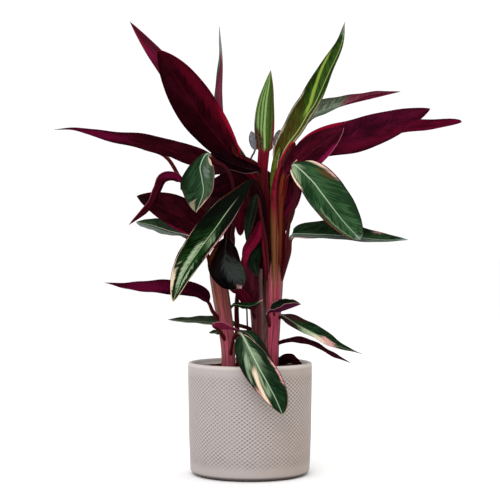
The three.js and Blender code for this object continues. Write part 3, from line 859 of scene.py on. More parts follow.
@dataclass(frozen=True)
class StonewareFinish:
    """The pot's satin glaze: taupe, dark in the pressed marks, with light and shade painted on it.

    The bands are pairs of heights, in millimetres, between which each colour comes in, and pale turns to
    warm between reach to the left of the middle and reach to its right: painted light, paler and greyer on
    the left where it falls and darker and warmer to the right. The rim band and the ridges between the marks
    carry painted highlights, the inner wall is painted near white against its shade, and the foot band is a
    painted shadow that makes the pot dark at the foot.
    """

    pale: int = 0xA49A98
    warm: int = 0x9C8E84
    # The rim's colour: a painted highlight along the rim's top and on the ridges, and pale grit specks.
    rim: int = 0xC4BAB4
    # Near white: painted light on the inner wall, lifting the shade that falls inside the pot.
    inside: int = 0xF0EAE4
    pressed: int = 0x463A3E
    # Painted shadow at the foot, where the underside curves into shade.
    foot: int = 0x2E221E
    reach: float = 95.0
    rim_highlight_band: Pair = (163.0, 169.0)
    foot_shadow_band: Pair = (7.5, 4.0)
    # Heights between which the unpressed ridges get a painted highlight.
    ridge_highlight_bands: tuple[Pair, Pair] = ((20.0, 45.0), (160.0, 140.0))

    CLOUDS = 14.0
    BLOTCHES = 70.0
    GRIT = 900.0

    def material(self, name: str) -> bpy.types.Material:
        """Makes the pot's material; "relief" is the depth of the pressed marks, from 0 to 1.

        Args:
            name: The material's name.

        Returns:
            The material.
        """
        shader = Shader(name)
        place = shader.object_place()
        parts = shader.node("ShaderNodeSeparateXYZ", None, {0: place})
        x, z = Value(shader, parts.outputs[0]) / MM, Value(shader, parts.outputs[2]) / MM
        scales = self.CLOUDS, self.GRIT, self.BLOTCHES
        cloud, grit, blotch = (shader.noise(place, scale, 3.0) for scale in scales)
        relief = shader.attribute("relief")
        # Painted light: paler and greyer on the left where the light falls, darker and warmer on the right.
        painted_light_side = ((x + self.reach) / (self.reach * 2) + (cloud - 0.5) * 0.4).step(0.35, 1.0)
        colour = shader.mix(painted_light_side, srgb(self.pale), srgb(self.warm))
        low, high = self.ridge_highlight_bands
        # Painted highlight on the unpressed ridges between the marks.
        painted_ridge_highlight = relief.step(0.3, 0.0) * z.step(*low) * z.step(*high)
        colour = shader.over(colour, painted_ridge_highlight * blotch.step(0.35, 0.62) * 0.3, self.rim)
        colour = shader.over(colour, relief * (0.1 + blotch * 1.3), self.pressed)
        # Painted light: near white on the inner wall against its shade.
        colour = shader.over(colour, shader.attribute("inside"), self.inside)
        # Painted highlight along the rim's top.
        colour = shader.over(colour, z.step(*self.rim_highlight_band) * 0.85, self.rim)
        # Painted shadow at the foot.
        colour = shader.over(colour, z.step(*self.foot_shadow_band) * 0.85, self.foot)
        colour = shader.over(colour, (grit - 0.5).step(0.08, 0.2) * 0.25, self.rim)
        return shader.finish(colour, 0.46 + cloud * 0.12, grit, depth=0.12, coat=0.06, gloss=0.4)


@dataclass(frozen=True)
class SoilFinish:
    """Moist peat: near black, with reddish brown crumbs and a few pale fibres."""

    dark: int = 0x2A1010
    brown: int = 0x5E2C26
    fibre: int = 0x7A5E48

    LUMPS = 160.0
    GRAINS = 900.0

    def material(self, name: str) -> bpy.types.Material:
        """Makes the soil's material.

        Args:
            name: The material's name.

        Returns:
            The material.
        """
        shader = Shader(name)
        lump, grain = (shader.noise(shader.object_place(), scale, 4.0) for scale in (self.LUMPS, self.GRAINS))
        colour = shader.mix(lump.step(0.42, 0.66), srgb(self.dark), srgb(self.brown))
        colour = shader.over(colour, (grain - 0.5).step(0.12, 0.2) * 0.7, self.fibre)
        return shader.finish(colour, 0.88 + grain * 0.1, grain, depth=0.8, gloss=0.0)


# ------------ sub-assemblies


@dataclass
class Leaf:
    """One leaf with its stalk: a blade and a round stalk that are one surface along one route.

    stalk holds x, y, z and the stalk's radius; its last point is the foot of the blade, and blade goes on
    from there along the midrib to the tip. face points out of the upper side; lift is how far each half
    rises from the midrib, in degrees; both are lists from base to tip. peaks are the places where the halves
    are widest and cut sharpens their ends. base_width is the least half width at the foot of the blade, and
    wave how far the margins wander.
    """

    name: str
    stalk: tuple[Knot, ...]
    blade: tuple[Point, ...]
    half_widths: Pair
    face: tuple[Point, ...]
    lift: tuple[Pair, ...] = ((12, 12),)
    peaks: Pair = (0.42, 0.42)
    cut: float = 1.4
    base_width: float = 0.0
    wave: float = 0.9

    CHART = "Leaf"
    PLACES = 52
    STALK_ROW = 5.0
    LEAST_STALK_ROWS = 8
    BLADE_ROW = 2.3
    BLADE_ROWS = (26, 110)
    OPENING = 14.0
    OPENING_SHARE = 0.2
    CROWDING = 1.2
    PLATE = 0.3
    EDGE_POWER = 8
    RIB_HEIGHT = 0.85
    RIB_SPREAD = (0.7, 0.8)
    RIB_ABOVE = 0.1
    LIFT_AT_RIB = 0.35
    PLEAT = 0.2
    PLEAT_PITCH = 7.4
    PLEAT_START = 12.0
    WAVE_SHARE = 0.55
    SECOND_WAVE = (0.6, 2.3)
    TIP_CALM = 5.0
    THINNEST = 0.35

    @property
    def seed(self) -> int:
        """A number that goes with the leaf's name, the same in every run."""
        return sum((k + 1) * ord(letter) for k, letter in enumerate(self.name)) % 997

    def outline(self, t: np.ndarray) -> np.ndarray:
        """Each half's width along it: t^(cut peak) (1 - t)^(cut (1 - peak)), over its highest value.

        Args:
            t: Places along the blade, from 0 to 1.

        Returns:
            For each place, the two halves' shares of their greatest widths.
        """
        peaks = np.array(self.peaks)
        rise, fall = self.cut * peaks, self.cut * (1 - peaks)
        highest = peaks ** rise * (1 - peaks) ** fall
        along = t[:, None]
        return np.where(along > 0, np.maximum(along, 1e-9) ** rise * (1 - along) ** fall, 0) / highest

    def tube(self) -> ClosedTube:
        """Works out the leaf's surface.

        At each distance a cross-section goes once round. On the stalk it is a circle. On the blade it is a
        thin plate, its half thickness PLATE (1 - out^8)^(1/2), with a rounded rib below and a slight one
        above: a bell curve of the distance aside. Each half is turned up from the midrib by its lift, more
        so towards the margin. The whole is shifted along its normal by a slow wave that grows with out^2 and
        by pleats that follow the side veins.

        Returns:
            The surface, with the numbers that the leaf's finish reads.
        """
        route = Route([knot[:3] for knot in self.stalk] + list(self.blade))
        base = route.knots[len(self.stalk) - 1]
        length = route.length - base
        stalk_rows = max(self.LEAST_STALK_ROWS, round(base / self.STALK_ROW))
        blade_rows = int(np.clip(round(length / self.BLADE_ROW), *self.BLADE_ROWS))
        distance = np.concatenate([np.linspace(0, base, stalk_rows, endpoint=False),
                                   np.linspace(base, route.length, blade_rows)])
        t = np.clip((distance - base) / length, 0, 1)
        normal, side = frames_along(route, distance, along_list(self.face, t))
        radii = [knot[3] for knot in self.stalk]
        radius = np.interp(distance, route.knots[:len(radii)], radii) * (1 - t) ** 1.5
        sheath = np.where(distance >= base, self.base_width * (1 - t), 0)
        widths = np.hypot(radius[:, None], self.outline(t) * np.array(self.half_widths))
        widths = np.maximum(np.maximum(widths, sheath[:, None]), self.THINNEST)
        turn = np.arange(self.PLACES) * TURN / self.PLACES
        sine, cosine = np.sin(turn)[None], np.cos(turn)[None]
        spread = smooth_step(distance - base, 0, min(self.OPENING, self.OPENING_SHARE * length))[:, None]
        even = np.sign(sine) * (np.arcsin(np.clip(np.abs(sine), 0, 1)) / (TURN / 4)) ** self.CROWDING
        across = (1 - spread) * sine + spread * even
        out = np.abs(across)
        half = (across >= 0).astype(int)
        width = np.take_along_axis(widths, half, 1)
        reach = out * width
        round_half = np.sqrt(np.maximum(radius[:, None] ** 2 - reach ** 2, 0))
        rib_width = self.RIB_SPREAD[0] * radius[:, None] + self.RIB_SPREAD[1]
        rib = self.RIB_HEIGHT * radius[:, None] * np.exp(-(reach / rib_width) ** 2)
        plate = self.PLATE * np.sqrt(np.maximum(1 - out ** self.EDGE_POWER, 0))
        plate = plate + rib * np.where(cosine > 0, self.RIB_ABOVE, 1.0)
        thickness = (1 - spread) * round_half + spread * plate
        through = np.sign(cosine) * np.where(np.abs(cosine) < 1e-9, 0, thickness)
        lifts = np.take_along_axis(np.radians(along_list(self.lift, t)), half, 1)
        turned = self.LIFT_AT_RIB + (1 - self.LIFT_AT_RIB) * out
        angle = lifts * turned * np.maximum(1 - radius[:, None] / width, 0)
        along = (distance - base)[:, None] + 0 * across
        shift = spread * self._ripples(along, reach, across, length)
        rings = (route.at(distance)[:, None]
                 + side[:, None] * (np.sign(across) * reach * np.cos(angle))[..., None]
                 + normal[:, None] * (reach * np.sin(angle) + through + shift)[..., None])
        chart_u = np.where(along > 0, along / length, 0.5 * along / max(base, 1))
        chart = np.stack([chart_u, (across + 1) / 2], -1)
        whole = np.ones_like(across)
        fields = {"along": along, "aside": across * width, "under": whole * (cosine < 0),
                  "sine": whole * sine, "cosine": whole * cosine,
                  "seed": whole * (self.seed % 89), "length": whole * length}
        chart = np.concatenate([chart, chart[:, :1]], 1)
        return ClosedTube("fine_" + self.name, rings, chart, self.CHART, fields)

    def _ripples(self, along: np.ndarray, reach: np.ndarray, across: np.ndarray,
                 length: float) -> np.ndarray:
        """The blade's own unevenness: wave out^2 times two slow sines along it, and pleats down the veins.

        Args:
            along: Distance from the foot of the blade, in millimetres.
            reach: Distance from the midrib, in millimetres.
            across: The same as a share of the half width, below 0 on the first half.
            length: The blade's length, in millimetres.

        Returns:
            How far each point is shifted along the blade's normal.
        """
        draw = np.random.default_rng(self.seed)
        phases = draw.uniform(0, TURN, 4)
        sweep = TURN * along / (length * self.WAVE_SHARE)
        lean = np.sign(across) * phases[1]
        share, rate = self.SECOND_WAVE
        wave = np.sin(sweep + phases[0] + lean) + share * np.sin(rate * sweep + phases[2] - lean)
        out = np.abs(across)
        fade = smooth_step(out, 0.03, 0.3) * (1 - out ** 6) * np.clip(along / self.PLEAT_START, 0, 1)
        pleats = np.sin(TURN * (along - LeafChart.VEIN_SLOPE * reach) / self.PLEAT_PITCH + phases[3])
        taper = np.clip((1 - along / length) * self.TIP_CALM, 0, 1)
        return (self.wave * out ** 2 * wave + self.PLEAT * fade * pleats) * taper

    def build(self, finish: LeafFinish, stands_for_node: bool = True) -> bpy.types.Object:
        """Makes the leaf and dresses it.

        Args:
            finish: How it is coloured.
            stands_for_node: Whether the frame has a node of this name, which the piece stands for.

        Returns:
            The piece.
        """
        made = self.tube().piece(finish.material("look_" + self.name))
        if stands_for_node:
            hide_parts(self.name)
        return made


@dataclass
class Sheath(Leaf):
    """A leaf still wrapped round a cane, without a node. Most face the front, with halves that fold back."""

    face: tuple[Point, ...] = ((0, -1, 0),)
    lift: tuple[Pair, ...] = ((-20, -20),)
    peaks: Pair = (0.5, 0.5)
    cut: float = 0.8

    def build(self, finish: LeafFinish) -> bpy.types.Object:
        """Makes the sheath and dresses it."""
        return super().build(finish, stands_for_node=False)


@dataclass
class Cane:
    """A standing cane of wrapped leaf sheaths: a tube whose ribs deepen towards the top, where it tapers."""

    name: str
    stalk: tuple[Knot, ...]
    ribs: tuple[tuple[int, float], ...] = ((3, 0.4), (5, 0.35), (8, 0.25))

    CHART = "Cane"
    PLACES = 72
    ROW = 3.0
    SHOULDER = 34.0
    TIP_SHARE = 0.45
    INSET = 0.03
    DEEPENING = 0.09
    TWIST = 0.8

    def tube(self) -> ClosedTube:
        """Works out the cane's surface.

        The radius is the knots' own, times 1 plus a depth times a sum of cosines of the angle, one for each
        (count, share) of ribs, which turn slowly with height. The depth goes from 0.03 low down to 0.12 at
        the top, and over the last stretch the radius falls to 0.45 of itself along a quarter of an ellipse.

        Returns:
            The surface, with the numbers that the cane's finish reads.
        """
        route = Route([knot[:3] for knot in self.stalk])
        rows = round(route.length / self.ROW)
        distance = np.linspace(0, route.length, rows)
        share = distance / route.length
        front = np.tile([0.0, -1.0, 0.0], (rows, 1))
        normal, side = frames_along(route, distance, front)
        turn = (np.arange(self.PLACES) * TURN / self.PLACES)[None]
        phases = np.random.default_rng(len(self.name)).uniform(0, TURN, len(self.ribs))
        lobes = sum(part * np.cos(count * turn + phase + self.TWIST * share[:, None] * (k + 1))
                    for k, ((count, part), phase) in enumerate(zip(self.ribs, phases)))
        radius = np.interp(distance, route.knots, [knot[3] for knot in self.stalk])
        left = np.clip((route.length - distance) / self.SHOULDER, 0, 1)
        radius = radius * (self.TIP_SHARE + (1 - self.TIP_SHARE) * np.sqrt(1 - (1 - left) ** 2))
        depth = self.INSET + self.DEEPENING * share[:, None] ** 2
        radius = radius[:, None] * (1 - self.INSET + depth * lobes)
        rings = (route.at(distance)[:, None] + side[:, None] * (radius * np.sin(turn))[..., None]
                 + normal[:, None] * (radius * np.cos(turn))[..., None])
        whole = np.ones_like(radius)
        height = rings[..., 2]
        chart = np.stack([np.concatenate([whole * turn, whole[:, :1] * TURN], 1) / TURN,
                          np.concatenate([height, height[:, :1]], 1) / 100], -1)
        fields = {"sine": whole * np.sin(turn), "cosine": whole * np.cos(turn), "along": height,
                  "left": whole * left[:, None]}
        return ClosedTube("fine_" + self.name, rings, chart, self.CHART, fields)

    def build(self, finish: CaneFinish) -> bpy.types.Object:
        """Makes the cane, dresses it and hides the frame's node that it stands for.

        Args:
            finish: How it is coloured.

        Returns:
            The piece.
        """
        made = self.tube().piece(finish.material("look_" + self.name))
        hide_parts(self.name)
        return made


@dataclass
class Pot:
    """The stoneware pot: a turned shell with a pressed pattern of short marks round its wall."""

    height: float
    radius: float
    wall: float = 6.0
    floor: float = 8.0
    foot_radius: float = 84.0
    foot_height: float = 2.2
    underside_radius: float = 85.5
    lower_radius: float = 91.5
    edge_height: float = 10.0
    inner_corner: float = 10.0
    marks_round: int = 76
    mark_rise: float = 5.9
    mark_depth: float = 0.9
    marks_start: Pair = (12.0, 26.0)
    marks_end: Pair = (148.0, 161.0)
    bends: Pair = (60.0, 150.0)
    bend_share: float = 0.57

    STEPS_PER_MARK = 6
    INNER_STEPS = 12
    ARC_STEPS = 9
    CHART = "Wall"

    def _arc(self, x: float, z: float, across: float, up: float, start: float, end: float) -> np.ndarray:
        """Points of an elliptical arc about (x, z) between two angles in degrees, without its first."""
        angle = np.radians(np.linspace(start, end, self.ARC_STEPS + 1))[1:]
        return np.stack([x + across * np.cos(angle), z + up * np.sin(angle)], -1)

    def profile(self) -> np.ndarray:
        """Works out the outline from the middle of the foot over the rim to the inside floor.

        The wall leans out from the lower radius to the full one in two straight stretches, and its rows are
        spaced so that each mark has the same number of them.

        Returns:
            Rows of (radius, height).
        """
        step = self.mark_rise / self.STEPS_PER_MARK
        rim = self.wall / 2
        rim_base = self.height - rim
        heights = np.arange(self.edge_height + step, rim_base, step)
        wall = np.stack([self._wall_radius(heights), heights], -1)
        inner_base = self.floor + self.inner_corner
        inner_radius = self._wall_radius(np.array([inner_base]))[0] - self.wall
        inner = np.linspace(rim_base, inner_base, self.INNER_STEPS)[1:]
        edge_run, edge_rise = self.lower_radius - self.underside_radius, self.edge_height - self.foot_height
        foot, corner = self.foot_radius, self.inner_corner
        return np.vstack([
            [[0.5, 0], [foot - 1, 0], [foot, 0.6], [foot, self.foot_height]],
            [[self.underside_radius, self.foot_height]],
            self._arc(self.underside_radius, self.edge_height, edge_run, edge_rise, -90, 0),
            wall,
            self._arc(self.radius - rim, rim_base, rim, rim, 0, 180),
            np.stack([self._wall_radius(inner) - self.wall, inner], -1),
            self._arc(inner_radius - corner, inner_base, corner, corner, 0, -90),
            [[0.5, self.floor]],
        ])

    def _wall_radius(self, height: np.ndarray) -> np.ndarray:
        """The outer wall's radius at a height."""
        middle = self.lower_radius + self.bend_share * (self.radius - self.lower_radius)
        return np.interp(height, [self.edge_height, *self.bends], [self.lower_radius, middle, self.radius])

    def tube(self) -> ClosedTube:
        """Turns the outline about the upright axis and presses the marks into the wall.

        A mark's depth is the positive part of cos(turns x angle) cos(pi z / half rise), to the power 0.8, so
        the marks stand in rows that are offset from one another by half a mark, and it fades out near the
        rim and the lower edge.

        Returns:
            The surface, with the marks' share of their full depth as "relief" and 1 on the inner wall as
            "inside".
        """
        outline = self.profile()
        places = self.marks_round * self.STEPS_PER_MARK
        angle = np.arange(places) * TURN / places
        radius, height = outline[:, :1], outline[:, 1:]
        outer = np.zeros((len(outline), 1))
        outer[:outline[:, 1].argmax()] = 1
        fade = smooth_step(height, *self.marks_start) * (1 - smooth_step(height, *self.marks_end)) * outer
        waves = np.cos(self.marks_round * angle)[None] * np.cos(TURN * height / self.mark_rise)
        relief = np.clip(waves, 0, 1) ** 0.8 * fade
        turned = radius - self.mark_depth * relief
        rings = np.stack([turned * np.cos(angle), turned * np.sin(angle), height + 0 * turned], -1)
        full = np.concatenate([angle, [TURN]]) * self.radius / 100
        travel = np.concatenate([[0], np.cumsum(np.hypot(*np.diff(outline, axis=0).T))]) / 100
        chart = np.stack(np.broadcast_arrays(full[None], travel[:, None]), -1)
        inside = np.zeros_like(relief)
        inside[outline[:, 1].argmax() + self.ARC_STEPS // 2:] = 1
        return ClosedTube("stoneware_pot", rings, chart, self.CHART, {"relief": relief, "inside": inside})

    def build(self, finish: StonewareFinish) -> bpy.types.Object:
        """Makes the pot, dresses it and hides the frame's node that it stands for.

        Args:
            finish: How it is coloured.

        Returns:
            The piece.
        """
        made = self.tube().piece(finish.material("look_pot"))
        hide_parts("pot")
        return made


@dataclass
class Soil:
    """The potting soil: a domed, lumpy bed inside the pot's wall with loose crumbs on it."""

    radius: float
    edge: float
    crown: float
    bottom: float
    lump: float = 1.3
    crumbs: int = 420
    crumb_margin: float = 4.0

    RINGS = 74
    PLACES = 216
    GRAINS = (5.5, 2.2)
    FINE_SHARE = 0.6
    CHART = "Soil"

    def _rise(self, x: np.ndarray, y: np.ndarray) -> np.ndarray:
        """The bed's height: a dome that falls with out^2, and two grains of noise that end at the wall.

        Args:
            x: Distances to the right.
            y: Distances to the back.

        Returns:
            The height at each place.
        """
        out = np.hypot(x, y) / self.radius
        places = np.stack([x, y], -1)
        coarse, fine = self.GRAINS
        rough = soft_noise(3, places / coarse) + self.FINE_SHARE * soft_noise(4, places / fine)
        dome = self.edge + (self.crown - self.edge) * (1 - out ** 2)
        return dome + self.lump * 0.5 * rough * (1 - out ** 8) - self.lump

    def tube(self) -> ClosedTube:
        """Works out the bed's surface.

        Returns:
            A disc of rings whose height is the bed's, closed by a wall and a flat underside.
        """
        out = np.concatenate([np.linspace(0.01, 1, self.RINGS) * self.radius, [self.radius, 1.0]])
        turn = np.arange(self.PLACES) * TURN / self.PLACES
        x, y = out[:, None] * np.cos(turn), out[:, None] * np.sin(turn)
        z = self._rise(x, y)
        z[-2:] = self.bottom
        rings = np.stack([x, y, z], -1)
        chart = np.stack([x, y], -1) / 100
        return ClosedTube("soil_bed", rings, np.concatenate([chart, chart[:, :1]], 1), self.CHART)

    def crumb_mesh(self) -> tuple[np.ndarray, np.ndarray]:
        """Loose crumbs: an eight-sided double pyramid for each, stretched, turned and half sunk in the bed.

        Returns:
            All crumbs' points in millimetres, and their triangles.
        """
        draw = np.random.default_rng(11)
        corners = np.array([[1, 0, 0], [0, 1, 0], [-1, 0, 0], [0, -1, 0], [0, 0, 1], [0, 0, -1]], float)
        upper = [[k, (k + 1) % 4, 4] for k in range(4)]
        faces = np.array(upper + [[after, before, 5] for before, after, _ in upper])
        count = self.crumbs
        size = draw.uniform(0.5, 2.0, (count, 1, 1)) * draw.uniform(0.5, 1.3, (count, 1, 3))
        shape = corners[None] * size * draw.uniform(0.75, 1.2, (count, 6, 1))
        spin, tip = draw.uniform(0, TURN, (2, count))
        turned = np.stack([shape[..., 0] * np.cos(tip)[:, None] + shape[..., 2] * np.sin(tip)[:, None],
                           shape[..., 1],
                           shape[..., 2] * np.cos(tip)[:, None] - shape[..., 0] * np.sin(tip)[:, None]], -1)
        across = np.cos(spin)[:, None] * turned[..., 0] - np.sin(spin)[:, None] * turned[..., 1]
        aside = np.sin(spin)[:, None] * turned[..., 0] + np.cos(spin)[:, None] * turned[..., 1]
        out = (self.radius - self.crumb_margin) * np.sqrt(draw.uniform(0, 1, count))
        bearing = draw.uniform(0, TURN, count)
        x, y = out * np.cos(bearing), out * np.sin(bearing)
        z = self._rise(x, y)
        points = np.stack([across + x[:, None], aside + y[:, None], turned[..., 2] + z[:, None]], -1)
        triangles = faces[None] + 6 * np.arange(count)[:, None, None]
        return points.reshape(-1, 3), triangles.reshape(-1, 3)

    def build(self, finish: SoilFinish) -> list[bpy.types.Object]:
        """Makes the bed and its crumbs, dresses them and hides the frame's node that the bed stands for.

        Args:
            finish: How they are coloured.

        Returns:
            The bed and the crumbs.
        """
        material = finish.material("look_soil")
        bed = self.tube().piece(material)
        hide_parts("potting_soil")
        points, triangles = self.crumb_mesh()
        crumbs = piece_of("soil_crumbs", points * MM, [triangles], material)
        for polygon in crumbs.data.polygons:
            polygon.use_smooth = False
        return [bed, crumbs]


@dataclass
class Studio:
    """The pale floor, the soft lights and the camera."""

    distance: float = 2131.0
    eye: float = 342.0
    lens: float = 100.0
    film: float = 36.0
    floor_reach: float = 60.0
    brightness: float = 1.05
    aim: Point = (0, 0, 0.35)

    def camera(self) -> bpy.types.Object:
        """Adds a level camera that looks along +Y at the plant from its front.

        Returns:
            The camera.
        """
        data = bpy.data.cameras.new("camera")
        data.lens = self.lens
        data.sensor_width = self.film
        made = bpy.data.objects.new("camera", data)
        made.location = (0, -self.distance * MM, self.eye * MM)
        made.rotation_euler = (TURN / 4, 0, 0)
        bpy.context.scene.collection.objects.link(made)
        bpy.context.scene.camera = made
        return made

    def floor(self) -> bpy.types.Object:
        """Adds a wide white floor.

        Returns:
            The floor, which isn't part of the plant.
        """
        shader = Shader("look_floor")
        material = shader.finish(srgb(0xFAFAFA), 0.6, gloss=0.0)
        reach = self.floor_reach
        points = np.array([[-reach, -reach, 0], [reach, -reach, 0], [reach, reach, 0], [-reach, reach, 0]])
        mesh = bpy.data.meshes.new("floor")
        mesh.from_pydata(points.tolist(), [], [(0, 1, 2, 3)])
        mesh.materials.append(material)
        made = bpy.data.objects.new("floor", mesh)
        bpy.context.scene.collection.objects.link(made)
        return made

    def sky(self) -> bpy.types.World:
        """Adds an even white surround.

        Returns:
            The surround.
        """
        world = bpy.data.worlds.new("surround")
        world.use_nodes = True
        background = world.node_tree.nodes["Background"]
        background.inputs["Color"].default_value = (1, 1, 1, 1)
        background.inputs["Strength"].default_value = self.brightness
        bpy.context.scene.world = world
        return world

    def light(self, name: str, place: Point, size: float, watts: float) -> bpy.types.Object:
        """Adds a square soft light that looks at the middle of the plant.

        Args:
            name: The light's name.
            place: Where it stands, in metres.
            size: Its side, in metres.
            watts: Its power.

        Returns:
            The light.
        """
        data = bpy.data.lights.new(name, "AREA")
        data.size = size
        data.energy = watts
        made = bpy.data.objects.new(name, data)
        made.location = place
        toward = np.array(self.aim) - np.array(place)
        flat = math.hypot(toward[0], toward[1])
        made.rotation_euler = (math.atan2(flat, -toward[2]), 0, math.atan2(-toward[0], toward[1]))
        bpy.context.scene.collection.objects.link(made)
        return made

    def build(self) -> None:
        """Sets up the stage and how its brightness is shown."""
        self.camera()
        self.floor()
        self.sky()
        self.light("key_light", place=(-0.7, -2.0, 1.9), size=1.5, watts=26)
        self.light("top_light", place=(0.3, 0.4, 2.6), size=1.6, watts=16)
        bpy.context.scene.view_settings.view_transform = "Standard"
        bpy.context.scene.view_settings.look = "None"


# ------------ the leaf table

